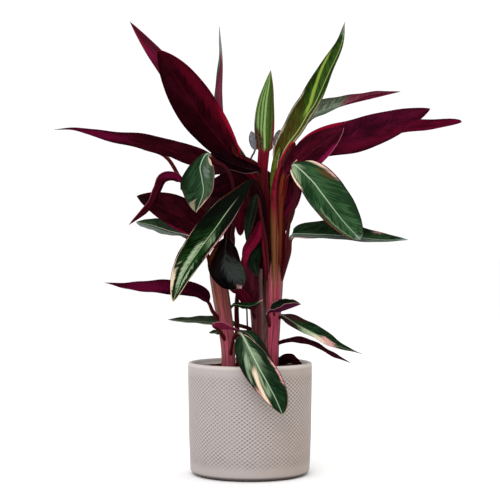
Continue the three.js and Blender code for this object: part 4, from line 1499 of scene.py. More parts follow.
LEAVES = (
    Leaf("leaf_left_long", half_widths=(22, 27),
         face=((0, 0.9, 0.45), (0, 0.5, 0.87), (0, 0.42, 0.9), (0, 0.3, 0.95), (0, 0.1, 1)),
         peaks=(0.36, 0.36),
         stalk=((-41, -12, 304, 3.5), (-31, -2, 357, 4), (-25, -4, 414, 4), (-30, -18, 458, 3.5),
                (-54, -30, 474, 3)),
         blade=((-98, -38, 487), (-150, -50, 499), (-208, -66, 509), (-254, -82, 519), (-287, -90, 519))),
    Leaf("leaf_left_mid", half_widths=(28, 24), face=((0, 0.95, 0.3),), peaks=(0.45, 0.45), cut=1.5,
         stalk=((-52, -20, 304, 4), (-49, -15, 342, 4), (-56, -12, 362, 3.5)),
         blade=((-91, -15, 385), (-132, -18, 407), (-172, -22, 424))),
    Leaf("leaf_left_curl", half_widths=(9, 9),
         face=((-0.3, 0.8, 0.5), (-0.5, 0.75, 0.4), (-0.7, 0.7, 0.1), (-0.6, 0.8, 0.1)), lift=((20, 20),),
         peaks=(0.3, 0.3), cut=1.1,
         stalk=((-43, -10, 304, 3), (-51, -3, 357, 3), (-75, -4, 411, 3), (-106, -6, 448, 3)),
         blade=((-121, -11, 454), (-133, -17, 449), (-140, -24, 432), (-153, -32, 407), (-182, -42, 380))),
    Leaf("leaf_left_slender", half_widths=(14, 14), face=((0, 0.3, 0.95),),
         stalk=((-47, -6, 304, 3), (-56, 18, 357, 3), (-82, 26, 412, 3), (-107, 22, 451, 3),
                (-130, 18, 486, 3)),
         blade=((-164, 32, 499), (-198, 48, 510), (-237, 64, 519))),
    Leaf("leaf_left_back_green", half_widths=(19, 19), face=((0, -0.5, 0.87),), peaks=(0.5, 0.5),
         stalk=((-57, -8, 296, 3), (-69, 5, 342, 3), (-102, 18, 364, 3)),
         blade=((-128, 30, 372), (-152, 42, 380), (-179, 54, 386))),
    Leaf("leaf_centre_dark", half_widths=(24, 28), face=((0, -0.85, 0.55),), peaks=(0.58, 0.66), cut=1.2,
         stalk=((-43, -22, 309, 3), (-36, -38, 339, 3), (-35, -46, 360, 3)),
         blade=((-37, -64, 339), (-35, -84, 315), (-14, -108, 286))),
    Leaf("leaf_left_droop_small", half_widths=(22, 34), face=((-0.1, -0.95, 0.3),),
         lift=((15, 80), (15, 72), (15, 10), (15, 5), (15, 5)), peaks=(0.34, 0.6), cut=1.9,
         stalk=((-38, -22, 304, 3), (-28, -14, 357, 3), (-22, -15, 414, 3), (-32, -36, 460, 3),
                (-51, -48, 475, 3), (-64, -54, 485, 3)),
         blade=((-74, -62, 467), (-71, -74, 446), (-69, -84, 426), (-79, -92, 397))),
    Leaf("leaf_left_low", half_widths=(20, 20), face=((0, 0.6, 0.8),), peaks=(0.34, 0.34), cut=1.7,
         stalk=((-44, -28, 233, 3.5), (-56, -38, 249, 3), (-63, -42, 264, 2.5)),
         blade=((-79, -50, 278), (-116, -62, 284), (-163, -78, 286), (-213, -94, 294))),
    Leaf("leaf_inner_small", half_widths=(9, 9), face=((0, -0.5, 0.85),),
         stalk=((-36, -24, 239, 2.5), (-27, -20, 257, 2.2)),
         blade=((-11, -18, 257), (3, -16, 257), (20, -14, 266))),
    Leaf("leaf_over_rim", half_widths=(23, 25), face=((0.05, -1, 0.2),), lift=((8, 8),), peaks=(0.6, 0.4),
         stalk=((-30, -30, 179, 2.5), (-27, -54, 200, 2.5), (-22, -70, 216, 2.5), (-13, -84, 218, 2.5)),
         blade=((0, -104, 196), (13, -114, 171), (26, -120, 148), (38, -123, 125), (47, -125, 104))),
    Leaf("leaf_over_rim_back", half_widths=(13, 13),
         face=((0, 0.75, 0.6), (0, 0.2, 0.9), (0.3, -0.9, 0.5), (0.3, -1, 0.2)),
         stalk=((-33, -30, 198, 3), (-47, -46, 222, 3), (-55, -54, 230, 3)),
         blade=((-27, -64, 225), (-1, -78, 216), (19, -93, 189), (39, -101, 167))),
    Leaf("leaf_centre_young", half_widths=(17, 17), face=((0, -1, 0),), lift=((40, 40),),
         peaks=(0.35, 0.35), base_width=14,
         stalk=((28, 2, 311, 5), (27, 5, 357, 5.5), (24, 6, 411, 7), (20, 5, 457, 7), (22, 3, 499, 8.5)),
         blade=((22, 3, 534), (24, 4, 565), (28, 6, 591), (32, 8, 619))),
    Leaf("leaf_right_tall", half_widths=(26, 22), face=((-0.57, -0.82, 0),), lift=((35, 42),),
         peaks=(0.37, 0.37), cut=1.5,
         stalk=((38, 7, 311, 5), (38, 9, 360, 4.5), (38, 8, 411, 4), (39, 6, 450, 4), (43, 5, 471, 4)),
         blade=((55, 8, 499), (75, 13, 527), (89, 18, 551), (103, 24, 573), (123, 34, 618), (143, 44, 663),
                (149, 50, 700))),
    Leaf("leaf_right_great", half_widths=(31, 27), face=((0, 0.85, 0.5),), peaks=(0.45, 0.45),
         stalk=((38, -5, 311, 5), (38, -7, 360, 5), (43, -9, 411, 5.5), (52, -9, 449, 6), (61, -8, 473, 5)),
         blade=((103, -24, 501), (155, -46, 512), (213, -72, 530), (264, -96, 549))),
    Leaf("leaf_right_short", half_widths=(23, 23), face=((0.25, 0.85, 0.3),), lift=((5, 15),),
         stalk=((46, -6, 311, 4), (47, -12, 360, 4), (47, -20, 406, 4.5), (50, -22, 436, 5),
                (55, -24, 459, 5)),
         blade=((78, -36, 478), (108, -50, 501), (140, -62, 524))),
    Leaf("leaf_back_twisted", half_widths=(18, 21), face=((0, -0.45, 0.9),),
         lift=((30, 0), (50, 30), (60, 80)), peaks=(0.27, 0.27), cut=1.1,
         stalk=((42, 15, 311, 4), (42, 25, 365, 4), (53, 44, 444, 3.5), (76, 66, 538, 3.5)),
         blade=((111, 80, 562), (152, 94, 575), (198, 110, 587), (244, 124, 599))),
    Leaf("leaf_right_behind", half_widths=(20, 20), face=((0, 0.45, 0.9),), peaks=(0.6, 0.6), cut=1.2,
         stalk=((49, 9, 311, 4), (50, 18, 365, 4), (56, 30, 423, 4), (78, 42, 488, 3.5)),
         blade=((150, 58, 511), (231, 78, 531), (296, 94, 541), (341, 106, 548))),
    Leaf("leaf_right_droop", half_widths=(36, 29), face=((0.25, -1, 0.35),), lift=((10, 10),),
         peaks=(0.45, 0.45), cut=1,
         stalk=((52, -4, 311, 3), (56, -12, 357, 3), (62, -16, 395, 2.4), (70, -22, 430, 2.2),
                (65, -36, 469, 3)),
         blade=((91, -54, 447), (108, -68, 424), (137, -82, 385), (162, -90, 357))),
    Leaf("leaf_right_flat", half_widths=(26, 24), face=((0, -0.6, 0.8),), lift=((23, 23),),
         peaks=(0.27, 0.34), cut=1.2,
         stalk=((47, -4, 296, 4), (58, -20, 336, 4.5), (65, -26, 363, 3.5)),
         blade=((105, -40, 365), (149, -56, 362), (193, -70, 357), (233, -82, 357))),
    Leaf("leaf_front_droop", half_widths=(18, 27), face=((-0.1, -0.9, 0.5),), lift=((8, 8),),
         peaks=(0.52, 0.5), cut=1.5,
         stalk=((28, -7, 311, 4), (24, -12, 365, 4), (20, -16, 411, 4.5), (12, -22, 436, 4.5),
                (2, -30, 446, 4)),
         blade=((-12, -46, 428), (-33, -66, 400), (-53, -86, 371), (-74, -105, 342), (-96, -122, 307),
                (-111, -133, 267))),
    Leaf("leaf_right_under", half_widths=(13, 13), face=((0.1, 1, 0.1),),
         stalk=((53, 1, 324, 3), (52, 2, 393, 3)),
         blade=((61, 0, 414), (69, 0, 436), (78, 0, 463))),
    Leaf("leaf_right_low_folded", half_widths=(19, 16), face=((0, -0.42, 0.9),), lift=((52, 50),),
         peaks=(0.42, 0.68),
         stalk=((32, -3, 218, 3), (27, -30, 247, 3)),
         blade=((44, -43, 250), (60, -52, 255), (76, -60, 261))),
    Leaf("leaf_right_low_green", half_widths=(16, 14), face=((0.2, -0.68, 0.73),), lift=((16, 16),),
         peaks=(0.33, 0.33), cut=1.9, base_width=6,
         stalk=((35, 2, 219, 3.5), (47, -8, 240, 3.5)),
         blade=((76, -20, 226), (103, -32, 213), (128, -44, 199), (167, -60, 187))),
    Leaf("leaf_right_low_narrow", half_widths=(12, 12), face=((0, 0.42, 0.9),), peaks=(0.36, 0.36),
         stalk=((34, 0, 186, 3), (43, -2, 199, 3)),
         blade=((72, -5, 203), (99, -8, 196), (125, -10, 182), (153, -12, 170))),
    Leaf("leaf_centre_hanging", half_widths=(8, 8), face=((-0.2, -1, 0.1),),
         stalk=((29, -8, 304, 2.5), (24, -22, 356, 2.2), (17, -30, 396, 2), (11, -34, 424, 2)),
         blade=((3, -38, 402), (-2, -40, 378), (-5, -42, 353))),
    Leaf("leaf_centre_red", half_widths=(9, 9), face=((0.2, 0.9, -0.3),),
         stalk=((26, -8, 296, 2.5), (20, -18, 350, 2.5), (18, -20, 386, 2.5)),
         blade=((9, -24, 363), (-5, -28, 342), (-9, -30, 315))),
    Leaf("leaf_upper_left_great", half_widths=(33, 32), face=((0.1, 1, 0.15),), peaks=(0.54, 0.48),
         cut=1.55,
         stalk=((11, 24, 311, 4.5), (17, 20, 365, 4.5), (19, 20, 415, 4.5), (11, 17, 444, 4.5),
                (-12, -2, 469, 4)),
         blade=((-56, -28, 522), (-78, -48, 549), (-109, -75, 595), (-136, -95, 635))),
    Leaf("leaf_centre_dark_back", half_widths=(12, 12), face=((0, 0.9, 0.4),), peaks=(0.55, 0.55), cut=1.1,
         stalk=((19, 22, 314, 3.5), (20, -2, 380, 3.5), (18, -12, 434, 4), (14, -24, 462, 3.5)),
         blade=((-6, -31, 466), (-29, -38, 474), (-59, -46, 487))),
    Leaf("leaf_centre_under", half_widths=(20, 20), face=((0, 0.9, 0.4),),
         stalk=((5, 33, 311, 3.5), (12, 32, 373, 3.5), (19, 31, 415, 3.5), (16, 28, 441, 3.5),
                (3, 14, 453, 3.5)),
         blade=((-15, 4, 448), (-38, -8, 440), (-76, -20, 427))),
    Leaf("leaf_front_droop_back", half_widths=(17, 17), face=((-0.2, -0.9, 0.45),), cut=1.3,
         stalk=((0, 22, 311, 3.5), (2, 12, 370, 3.5), (-2, 0, 406, 3.5), (-6, -16, 438, 3)),
         blade=((-29, -36, 404), (-64, -58, 364), (-96, -76, 333), (-115, -90, 294))),
    Leaf("leaf_centre_red_back", half_widths=(9, 9), face=((0.1, 1, -0.1),), cut=0.8,
         stalk=((-17, 4, 150, 3.4), (-20, 6, 227, 3.8), (-20, 8, 265, 3.4), (-12, 12, 323, 2.4),
                (2, 12, 381, 2.2), (0, 10, 413, 2)),
         blade=((-11, 12, 401), (-15, 14, 385), (-15, 15, 364))),
    Leaf("leaf_centre_low_green", half_widths=(9, 9), face=((-0.2, -1, 0.2),), cut=1,
         stalk=((9, 20, 308, 2.5), (17, 3, 345, 2.5)),
         blade=((9, 1, 333), (6, 1, 321), (12, 3, 302))),
    Leaf("leaf_upper_left_behind", half_widths=(18, 18), face=((0, 1, 0.2),), cut=1.5,
         stalk=((21, 62, 310, 4), (9, 50, 366, 4), (0, 44, 428, 4), (-22, 38, 483, 3.5)),
         blade=((-74, 44, 542), (-119, 52, 611), (-161, 60, 665), (-190, 66, 703))),
    Leaf("leaf_top_narrow", half_widths=(22, 22), face=((-1, 0.05, 0),),
         lift=((38, 24), (46, 24), (30, 15), (25, 10)),
         stalk=((25, 60, 310, 4), (19, 56, 381, 4), (-3, 56, 436, 4), (-27, 54, 491, 3)),
         blade=((-41, 62, 539), (-45, 72, 588), (-44, 84, 645), (-49, 96, 700))),
    Leaf("leaf_back_spoon_left", half_widths=(7, 7), face=((-0.2, -1, 0.2),), cut=1.1,
         stalk=((17, 66, 310, 2.5), (8, 68, 366, 2), (-1, 66, 421, 1.8), (0, 62, 479, 1.5),
                (8, 62, 500, 1.5)),
         blade=((5, 63, 516), (2, 65, 530))),
    Leaf("leaf_back_spoon_right", half_widths=(8, 8), face=((0.2, -1, 0.2),), cut=1.1,
         stalk=((32, 66, 310, 2.5), (41, 62, 421, 1.8), (43, 60, 500, 1.5)),
         blade=((44, 62, 516), (47, 64, 532))),
    Leaf("leaf_left_low_green", half_widths=(19, 19), face=((0, -0.3, 0.95),),
         stalk=((25, 60, 192, 3), (8, 44, 214, 3), (-19, 32, 225, 3)),
         blade=((-55, 42, 228), (-91, 52, 230), (-129, 62, 232))),
    Leaf("leaf_left_low_tiny", half_widths=(6, 6), face=((0, -0.7, 0.7),),
         stalk=((12, 30, 186, 2.5), (-12, 14, 206, 2.5), (-34, 8, 216, 2.2)),
         blade=((-48, 2, 216), (-63, -3, 215))),
    Leaf("leaf_soil_round", half_widths=(11, 9), face=((0, 0.9, 0.4),),
         stalk=((28, 52, 150, 2.5), (44, 40, 164, 2.5)),
         blade=((53, 30, 171), (64, 22, 173), (80, 12, 166))),
    Leaf("leaf_back_right_fall", half_widths=(20, 20), face=((0, -0.1, 1),),
         stalk=((33, 65, 310, 3.5), (49, 76, 382, 3.5), (57, 84, 422, 3.5), (79, 100, 448, 3.5)),
         blade=((101, 132, 446), (124, 165, 425), (140, 190, 392))),
    Leaf("leaf_back_left_fall", half_widths=(24, 24), face=((0, -0.1, 1),),
         stalk=((21, 70, 310, 3.5), (0, 84, 366, 3.5), (-19, 100, 398, 3.5)),
         blade=((-41, 130, 410), (-69, 165, 402), (-87, 190, 379))),
    Leaf("leaf_back_left_rise", half_widths=(15, 15), face=((-0.2, -0.5, 0.8),),
         stalk=((24, 70, 287, 3.5), (25, 77, 382, 3.5), (19, 82, 438, 3.5), (-5, 90, 480, 3.5)),
         blade=((-40, 110, 516), (-74, 138, 561), (-103, 170, 594))),
    Leaf("leaf_back_right_rise", half_widths=(20, 20), face=((-0.1, 0.1, 0.95),),
         stalk=((27, 72, 286, 3.5), (35, 90, 390, 3.5), (58, 106, 471, 3.5)),
         blade=((101, 128, 505), (155, 152, 526), (213, 176, 541))),
    Leaf("leaf_back_low", half_widths=(22, 22), face=((0, -0.1, 1),),
         stalk=((27, 68, 247, 3), (26, 86, 278, 3)),
         blade=((26, 112, 287), (26, 145, 273), (25, 172, 239))),
    Leaf("leaf_inner_red", half_widths=(9, 9), face=((0, 0.8, 0.5),),
         stalk=((0, 8, 149, 1.4), (-4, 8, 225, 1.3), (-5, 6, 251, 1.2)),
         blade=((-8, 2, 267), (-17, -1, 277), (-32, -4, 282))),
)

CANES = (
    Cane("left_cane",
         stalk=((-32, -30, 139, 10.5), (-33, -28, 191, 11), (-37, -26, 228, 12), (-43, -22, 266, 13),
                (-49, -18, 304, 13), (-53, -16, 327, 12))),
    Cane("right_cane",
         stalk=((31, 0, 136, 13), (32, 0, 189, 13), (34, 0, 227, 13), (36, 0, 281, 14.5),
                (38, 0, 314, 14.5), (40, 0, 333, 13.5))),
    Cane("centre_cane",
         stalk=((14, 34, 133, 8), (12, 34, 194, 8.5), (10, 34, 248, 10.5), (6, 33, 287, 13),
                (7, 32, 314, 12.5), (9, 31, 333, 10.5))),
    Cane("back_cane",
         stalk=((28, 58, 131, 8), (28, 60, 200, 9), (27, 62, 263, 10), (25, 64, 310, 10),
                (25, 64, 333, 9))),
)


SHEATHS = (
    Sheath("sheath_centre", half_widths=(13, 13), peaks=(0.4, 0.4), cut=0.9,
           stalk=((12, 36, 262, 3), (17, 40, 285, 3)),
           blade=((16, 46, 342), (13, 46, 397), (10, 46, 452))),
    Sheath("sheath_middle", half_widths=(9, 8), cut=0.5,
           stalk=((26, 54, 262, 3), (29, 48, 282, 3)),
           blade=((31, 44, 350), (31, 42, 412), (28, 42, 466))),
    Sheath("sheath_left", half_widths=(32, 22), lift=((12, 12),), face=((0, -1, 0.1),), peaks=(0.5, 0.45),
           stalk=((10, 32, 300, 3), (18, 42, 370, 3)),
           blade=((-8, 44, 428), (-39, 42, 438), (-88, 38, 412))),
    Sheath("sheath_left_high", half_widths=(20, 20), lift=((12, 12),), face=((0, -1, 0.1),),
           stalk=((12, 30, 320, 3), (16, 30, 420, 3)),
           blade=((4, 26, 458), (-20, 22, 470), (-48, 18, 474), (-72, 14, 462))),
    Sheath("sheath_left_low", half_widths=(9, 10), lift=((12, 12),), peaks=(0.42, 0.42), cut=0.9,
           stalk=((-46, -12, 296, 2), (-38, 6, 326, 2)),
           blade=((-33, 22, 352), (-34, 25, 372), (-42, 24, 390))),
    Sheath("sheath_core_low", half_widths=(13, 15), lift=((12, 12),), face=((0, -1, 0.1),),
           peaks=(0.4, 0.55),
           stalk=((8, 28, 236, 3), (4, 18, 250, 3)),
           blade=((1, 14, 276), (-3, 12, 308), (-1, 12, 352))),
    Sheath("sheath_young", half_widths=(10, 9), lift=((-45, -45),), peaks=(0.62, 0.62), cut=0.6,
           stalk=((25, 2, 320, 3), (20, 2, 345, 4)),
           blade=((18, 2, 392), (18, 2, 435), (18.5, 3, 475), (20, 3, 520))),
    Sheath("sheath_tall", half_widths=(7, 7), face=((-0.4, -1, 0),), lift=((-30, -30),), cut=0.7,
           stalk=((36, 0, 330, 3), (36, -2, 380, 3)),
           blade=((35.5, -4, 430), (36, -2, 465), (39.5, 0, 484), (46, 3, 500))),
    Sheath("sheath_right_dark", half_widths=(12, 10),
           stalk=((40, 4, 330, 3), (44, 2, 390, 3)),
           blade=((47, -2, 425), (50, -4, 452), (56, -4, 478), (68, -6, 508))),
    Sheath("sheath_right_low", half_widths=(13, 12),
           stalk=((44, 8, 320, 3), (52, 8, 372, 3)),
           blade=((58, 6, 400), (62, 6, 430), (68, 6, 462))),
    Sheath("sheath_right_red", half_widths=(9, 9), lift=((-35, -35),), peaks=(0.7, 0.7), cut=1.5,
           stalk=((36, -9, 240, 2), (37, -14, 251, 2)),
           blade=((38, -17, 304), (38, -17, 357), (38.5, -16, 411), (41, -14, 449), (48, -12, 474))),
)


# ------------ the looks

PLAIN = LeafFinish()
WINE = LeafFinish(unders=(0x24060E, 0x420A1A), gloss=0.0)
SHEATH = LeafFinish(
    greens=(0x120306, 0x280810), midrib=Line(0x2A0A10, (0.5, 0.5)), margin=Line(0x3A1418, (0.3, 0.3)),
    unders=(0x120306, 0x240810), rim=Line(0x2A0A10, (0.4, 0.4)),
)
SPOON = LeafFinish(
    greens=(0x6E6E76, 0x86868E), midrib=Line(0x5A5A62, (0.6, 0.6)), margin=Line(0x585860, (0.8, 0.8)),
    stalks=(0x3A2C30, 0x564A4E), veins=0.2,
)
BACK = LeafFinish(margin=Line(0xC89C90, (1.2, 1.2)), patches=(
    Patch(Tint.SAGE, (0.25, 0.5), (0.1, 0.8)),
    Patch(Tint.CREAM, (0.42, 0.56), (0.35, 1)),
    Patch(Tint.SAGE, (0.5, 0.72), (-0.8, -0.1)),
    Patch(Tint.PINK, (0.6, 0.7), (-1, -0.55)),
))

LOOKS: dict[str, LeafFinish] = {
    "leaf_left_long": replace(WINE, unders=(0x200409, 0x360814), stalks=(0x1E040C, 0x300810), patches=(
        Patch(Tint.MAGENTA, (0.55, 0.88), (-0.85, 0.7), Side.UNDER, 0.4, 0.1, 0.3),
        Patch(Tint.BLACKISH, (-0.3, 1), (-1, -0.9), Side.UNDER, 0.6),
        Patch(Tint.GREEN, (0.92, 1.05), (-1, 1), Side.UNDER, 0.9),
    )),
    "leaf_left_mid": replace(WINE, unders=(0x1A0408, 0x300812), patches=(
        Patch(Tint.MAGENTA, (-0.1, 0.28), (0.84, 1), Side.UNDER, 0.8),
        Patch(Tint.INK, (0.86, 1.05), (-1, 1), Side.UNDER, 0.8),
    )),
    "leaf_left_curl": replace(WINE, unders=(0x240408, 0x3A0816), rim=Line(0x8A4658, (0.8, 0.0)), patches=(
        Patch(Tint.MAGENTA, (-0.05, 0.22), (-0.7, 0.4), Side.UNDER, 0.5),
    )),
    "leaf_left_slender": WINE,
    "leaf_left_back_green": LeafFinish(
        greens=(0x081A08, 0x1A3618), midrib=Line(0xC8C8AE, (1.8, 1.8)),
        patches=(Patch(Tint.GREY, (-0.5, 1), (-1, -0.2), share=0.7),),
    ),
    "leaf_centre_dark": LeafFinish(
        greens=(0x040304, 0x0C0D0C), midrib=Line(0x2A322E, (0.8, 0.8)), margin=Line(0x8A5A62, (0.5, 0.8)),
        veins=0.6, gleam=0x3A4240, gloss=0.0,
        patches=(
            Patch(Tint.BURGUNDY, (-0.2, 0.4), (-0.9, 0.9), share=0.12, soft=0.14, ragged=0.4),
            # Painted sheen: a grey highlight where light glances off the dark blade.
            Patch(Tint.GREY, (0.3, 0.85), (-0.9, 0.2), share=0.12, soft=0.1, ragged=0.5),
            Patch(Tint.GREEN, (0.25, 0.85), (-1, -0.76), share=0.5),
            Patch(Tint.RUST, (0.02, 0.16), (0.7, 1), share=0.5),
            Patch(Tint.PINK, (0.93, 1.05), (-1, 0.5), share=0.5),
        ),
    ),
    "leaf_left_droop_small": LeafFinish(
        greens=(0x0A1C0A, 0x243E26), stalks=(0x24060E, 0x3A0A14), midrib=Line(0x9CBCA0, (1.7, 1.7)),
        margin=Line(0xB08A7C, (1.3, 0.3)),
        patches=(
            Patch(Tint.SAGE, (-0.1, 0.8), (-1, -0.1), share=0.08, soft=0.08, ragged=0.4),
            # Painted sheen: a grey highlight of light glancing off the blade.
            Patch(Tint.GREY, (0.1, 0.32), (-0.62, -0.22), share=0.5, ragged=0.4),
            Patch(Tint.CREAM, (-0.4, -0.04), (-1, 0.2), share=0.8),
            Patch(Tint.CREAM, (0.7, 0.95), (0.3, 0.9), share=0.25),
            Patch(Tint.PINK, (0.66, 1.05), (-1, -0.62), share=0.7),
        ),
    ),
    "leaf_left_low": replace(WINE, unders=(0x240410, 0x380818), patches=(
        Patch(Tint.MAGENTA, (0.4, 0.78), (-0.8, 0.8), Side.UNDER, 0.35, 0.1, 0.3),
        Patch(Tint.BLACKISH, (-0.4, 0.24), (-1, 1), Side.UNDER, 0.7, 0.1),
    )),
    "leaf_inner_small": LeafFinish(patches=(Patch(Tint.PINK, (0.84, 1.05), (-1, 1), share=0.7),)),
    "leaf_over_rim": LeafFinish(
        greens=(0x06180A, 0x1A361C), midrib=Line(0xA2B89A, (2.8, 2.8)), margin=Line(0xD8B0A0, (1, 0.4)),
        patches=(
            Patch(Tint.SAGE, (0.04, 0.46), (-0.3, 0.3), share=0.3, soft=0.1, ragged=0.3),
            Patch(Tint.SAGE, (0.13, 0.3), (0.3, 0.6), share=0.6, ragged=0.2),
            Patch(Tint.CREAM, (0.56, 0.76), (0.86, 1), ragged=0.1, share=0.9),
            Patch(Tint.PINK, (0.42, 0.74), (0.8, 1), share=0.75),
            Patch(Tint.SAGE, (0.62, 0.7), (0.05, 0.5), share=0.6, ragged=0.08),
            Patch(Tint.PINK, (0.22, 0.5), (-1, -0.84)),
            Patch(Tint.SAGE, (0.2, 0.34), (-0.5, -0.05), share=0.35),
        ),
        streaks=(
            Streak(Tint.CREAM, (0.44, 0.3), (0.84, 0.9), 0.2, 1),
            Streak(Tint.SAGE, (0.3, 0.5), (0.56, 0.85), 0.12, 0.5),
            Streak(Tint.SAGE, (0.52, 0.2), (0.7, 0.4), 0.1, 0.6),
        ),
    ),
    "leaf_over_rim_back": LeafFinish(
        greens=(0x07140A, 0x122614), margin=Line(0x6A3A3C, (0.6, 0.6)), unders=(0x4A0C22, 0x761A3C),
        rim=Line(0x9A5C66, (0.0, 1.2)),
    ),
    "leaf_centre_young": LeafFinish(
        greens=(0x2E4814, 0x7A9658), midrib=Line(0x9CBC78, (0.8, 0.8)), margin=Line(0x8A2434, (0.5, 1.2)),
        veins=0.3, stripes=0.85, unders=(0x3A0A18, 0x5A1024),
        patches=(
            Patch(Tint.OLIVE, (-0.5, 1.05), (0.2, 1), share=0.9, streak=0.1),
            Patch(Tint.BURGUNDY, (-0.6, 0.12), (-1, -0.08), soft=0.08),
            Patch(Tint.RUBY, (-0.6, 0.16), (0.72, 1), share=0.9),
        ),
        stalks=(0x4A0814, 0x780E24),
    ),
    "leaf_right_tall": LeafFinish(
        greens=(0x142804, 0x2E4C0C), midrib=Line(0xB4B87A, (1.8, 1.8)), margin=Line(0xA08A6A, (0.3, 0.6)),
        veins=0.6, stalks=(0x4E4A0E, 0x7E2A1E), unders=(0x44403A, 0x6A6A5A),
        patches=(
            Patch(Tint.RUST, (-0.2, 0.3), (-0.9, 1), share=0.18, soft=0.12),
            Patch(Tint.CREAM, (0.14, 0.34), (-1, -0.9), share=0.7),
            Patch(Tint.CREAM, (-0.1, 0.1), (-1, -0.84), share=0.8),
            Patch(Tint.CREAM, (0.04, 0.44), (0.3, 0.62), share=0.35),
            Patch(Tint.GREY, (0.5, 1.05), (0.7, 1), share=0.6),
            Patch(Tint.GREY, (0.9, 1.05), (-1, 1), share=0.5),
        ),
        streaks=(Streak(Tint.LIME, (0.36, -0.12), (0.78, -0.86), 0.16, 0.9),),
    ),
    "leaf_right_great": replace(WINE, stalks=(0x5A0A18, 0x7A1024), unders=(0x280612, 0x4C0C24), patches=(
        Patch(Tint.CRIMSON, (-0.1, 0.26), (0.72, 1), Side.UNDER, 0.8, 0.08),
        Patch(Tint.RUBY, (0.1, 0.85), (-0.9, -0.3), Side.UNDER, 0.3, 0.1, 0.3),
        Patch(Tint.BLACKISH, (-0.3, 1), (-1, -0.9), Side.UNDER, 0.5),
    )),
    "leaf_right_short": replace(WINE, stalks=(0x4A0814, 0x5A2A14), rim=Line(0xA85C6E, (1, 0.0)), patches=(
        Patch(Tint.MAGENTA, (0.1, 0.6), (-1, -0.66), Side.UNDER, 0.8),
    )),
    "leaf_back_twisted": LeafFinish(
        greens=(0x444E3E, 0x788270), midrib=Line(0x98A08E, (1, 1)), margin=Line(0x3A1A20, (0.8, 0.8)),
        unders=(0x4E1226, 0x7E1E3C), rim=Line(0x2E0A16, (1.2, 1.2)), gloss=0.0,
        patches=(Patch(Tint.MAGENTA, (0.44, 1.05), (-1, 1), share=0.85),),
    ),
    "leaf_right_behind": replace(
        WINE, stalks=(0x4A2010, 0x5A4016), unders=(0x3A0616, 0x5E0A26), rim=Line(0x1E0610, (1.2, 1.2)),
    ),
    "leaf_right_droop": LeafFinish(
        greens=(0x122A14, 0x30502E), midrib=Line(0xB2C4A6, (2.2, 2.2)), margin=Line(0x8A7A66, (0.4, 0.6)),
        gleam=0x5E7E5E,
        patches=(
            Patch(Tint.SAGE, (-0.3, 0.04), (-0.3, 0.75), share=0.6),
            Patch(Tint.CREAM, (-0.5, -0.02), (-1, -0.8)),
            Patch(Tint.PINK, (-0.1, 0.06), (-1, -0.86)),
            Patch(Tint.CREAM, (-0.4, 0.08), (0.8, 1)),
            Patch(Tint.RUST, (0.03, 0.09), (-0.82, -0.55), share=0.5),
            Patch(Tint.SAGE, (0.4, 0.95), (0.62, 0.74), share=0.5),
            Patch(Tint.RUST, (0.36, 0.9), (0.82, 1), share=0.35),
            Patch(Tint.GREY, (0.93, 1.05), (-1, 1), share=0.6),
        ),
    ),
    "leaf_right_flat": LeafFinish(
        greens=(0x081A0A, 0x1C3418), midrib=Line(0xA6B6A6, (1.7, 1.7)), margin=Line(0x7A8478, (0.6, 0.6)),
        patches=(
            Patch(Tint.GREY, (-0.5, 1.05), (0.12, 1), share=0.42),
            Patch(Tint.PINK, (-0.4, 0.04), (0.7, 1), share=0.85),
            Patch(Tint.PINK, (0.58, 0.66), (-1, -0.72), share=0.4),
            Patch(Tint.GREY, (0.92, 1.05), (-1, 1), share=0.6),
        ),
    ),
    "leaf_front_droop": LeafFinish(
        greens=(0x040F02, 0x163212), midrib=Line(0x96AE88, (1.6, 1.6)), margin=Line(0xE0C8AC, (0.9, 1.4)),
        plain_to=0.2, gloss=0.0, stalks=(0x14060A, 0x2A0A10),
        patches=(
            Patch(Tint.INK, (-0.6, 0.4), (-1, 1), share=0.95, soft=0.16, streak=0.0),
            Patch(Tint.RUST, (-0.2, 0.1), (0.8, 1), share=0.25),
            Patch(Tint.SAGE, (0.55, 0.9), (0.02, 0.34), share=0.7, ragged=0.2),
            Patch(Tint.CREAM, (0.72, 0.88), (0.6, 1), share=0.8),
            Patch(Tint.SAGE, (0.7, 0.88), (-0.5, -0.26), share=0.75, ragged=0.2),
            Patch(Tint.SAGE, (0.46, 0.54), (-0.6, -0.1), share=0.45),
            Patch(Tint.PINK, (0.3, 0.56), (-1, -0.84), share=0.7),
        ),
    ),
    # Near-black colours above and below: painted shade, for a leaf that hangs in the shade behind
    # leaf_front_droop.
    "leaf_front_droop_back": LeafFinish(
        greens=(0x040604, 0x0A100A), margin=Line(0x6A5C50, (0.4, 0.6)),
        midrib=Line(0x1A221A, (0.8, 0.8)), unders=(0x12040A, 0x1E0810),
    ),
    "leaf_right_under": replace(WINE, unders=(0x3A0A1A, 0x5A102A)),
    "leaf_right_low_folded": LeafFinish(
        greens=(0x060E06, 0x101E10), midrib=Line(0xA09A84, (0.9, 0.9)), margin=Line(0x8A6A62, (0.6, 0.6)),
        unders=(0x300A1C, 0x521436), rim=Line(0xA08478, (0.7, 0.7)),
    ),
    "leaf_right_low_green": LeafFinish(
        greens=(0x081A08, 0x143014), midrib=Line(0x9AB08E, (1, 1)), margin=Line(0x5A3A3C, (0.5, 0.7)),
        patches=(
            Patch(Tint.BURGUNDY, (-0.5, 0.14), (-1, 1), share=0.75),
            Patch(Tint.SAGE, (0.2, 0.5), (0.02, 1), share=0.9),
            Patch(Tint.CREAM, (0.34, 0.54), (0.2, 1), share=0.9),
            Patch(Tint.PINK, (0.5, 0.66), (-0.3, 1), share=0.9),
            Patch(Tint.INK, (0.8, 1.05), (-1, 1), share=0.8),
        ),
    ),
    "leaf_right_low_narrow": replace(WINE, unders=(0x200609, 0x34101A), rim=Line(0xA85C6A, (1, 0.2))),
    "leaf_centre_hanging": LeafFinish(
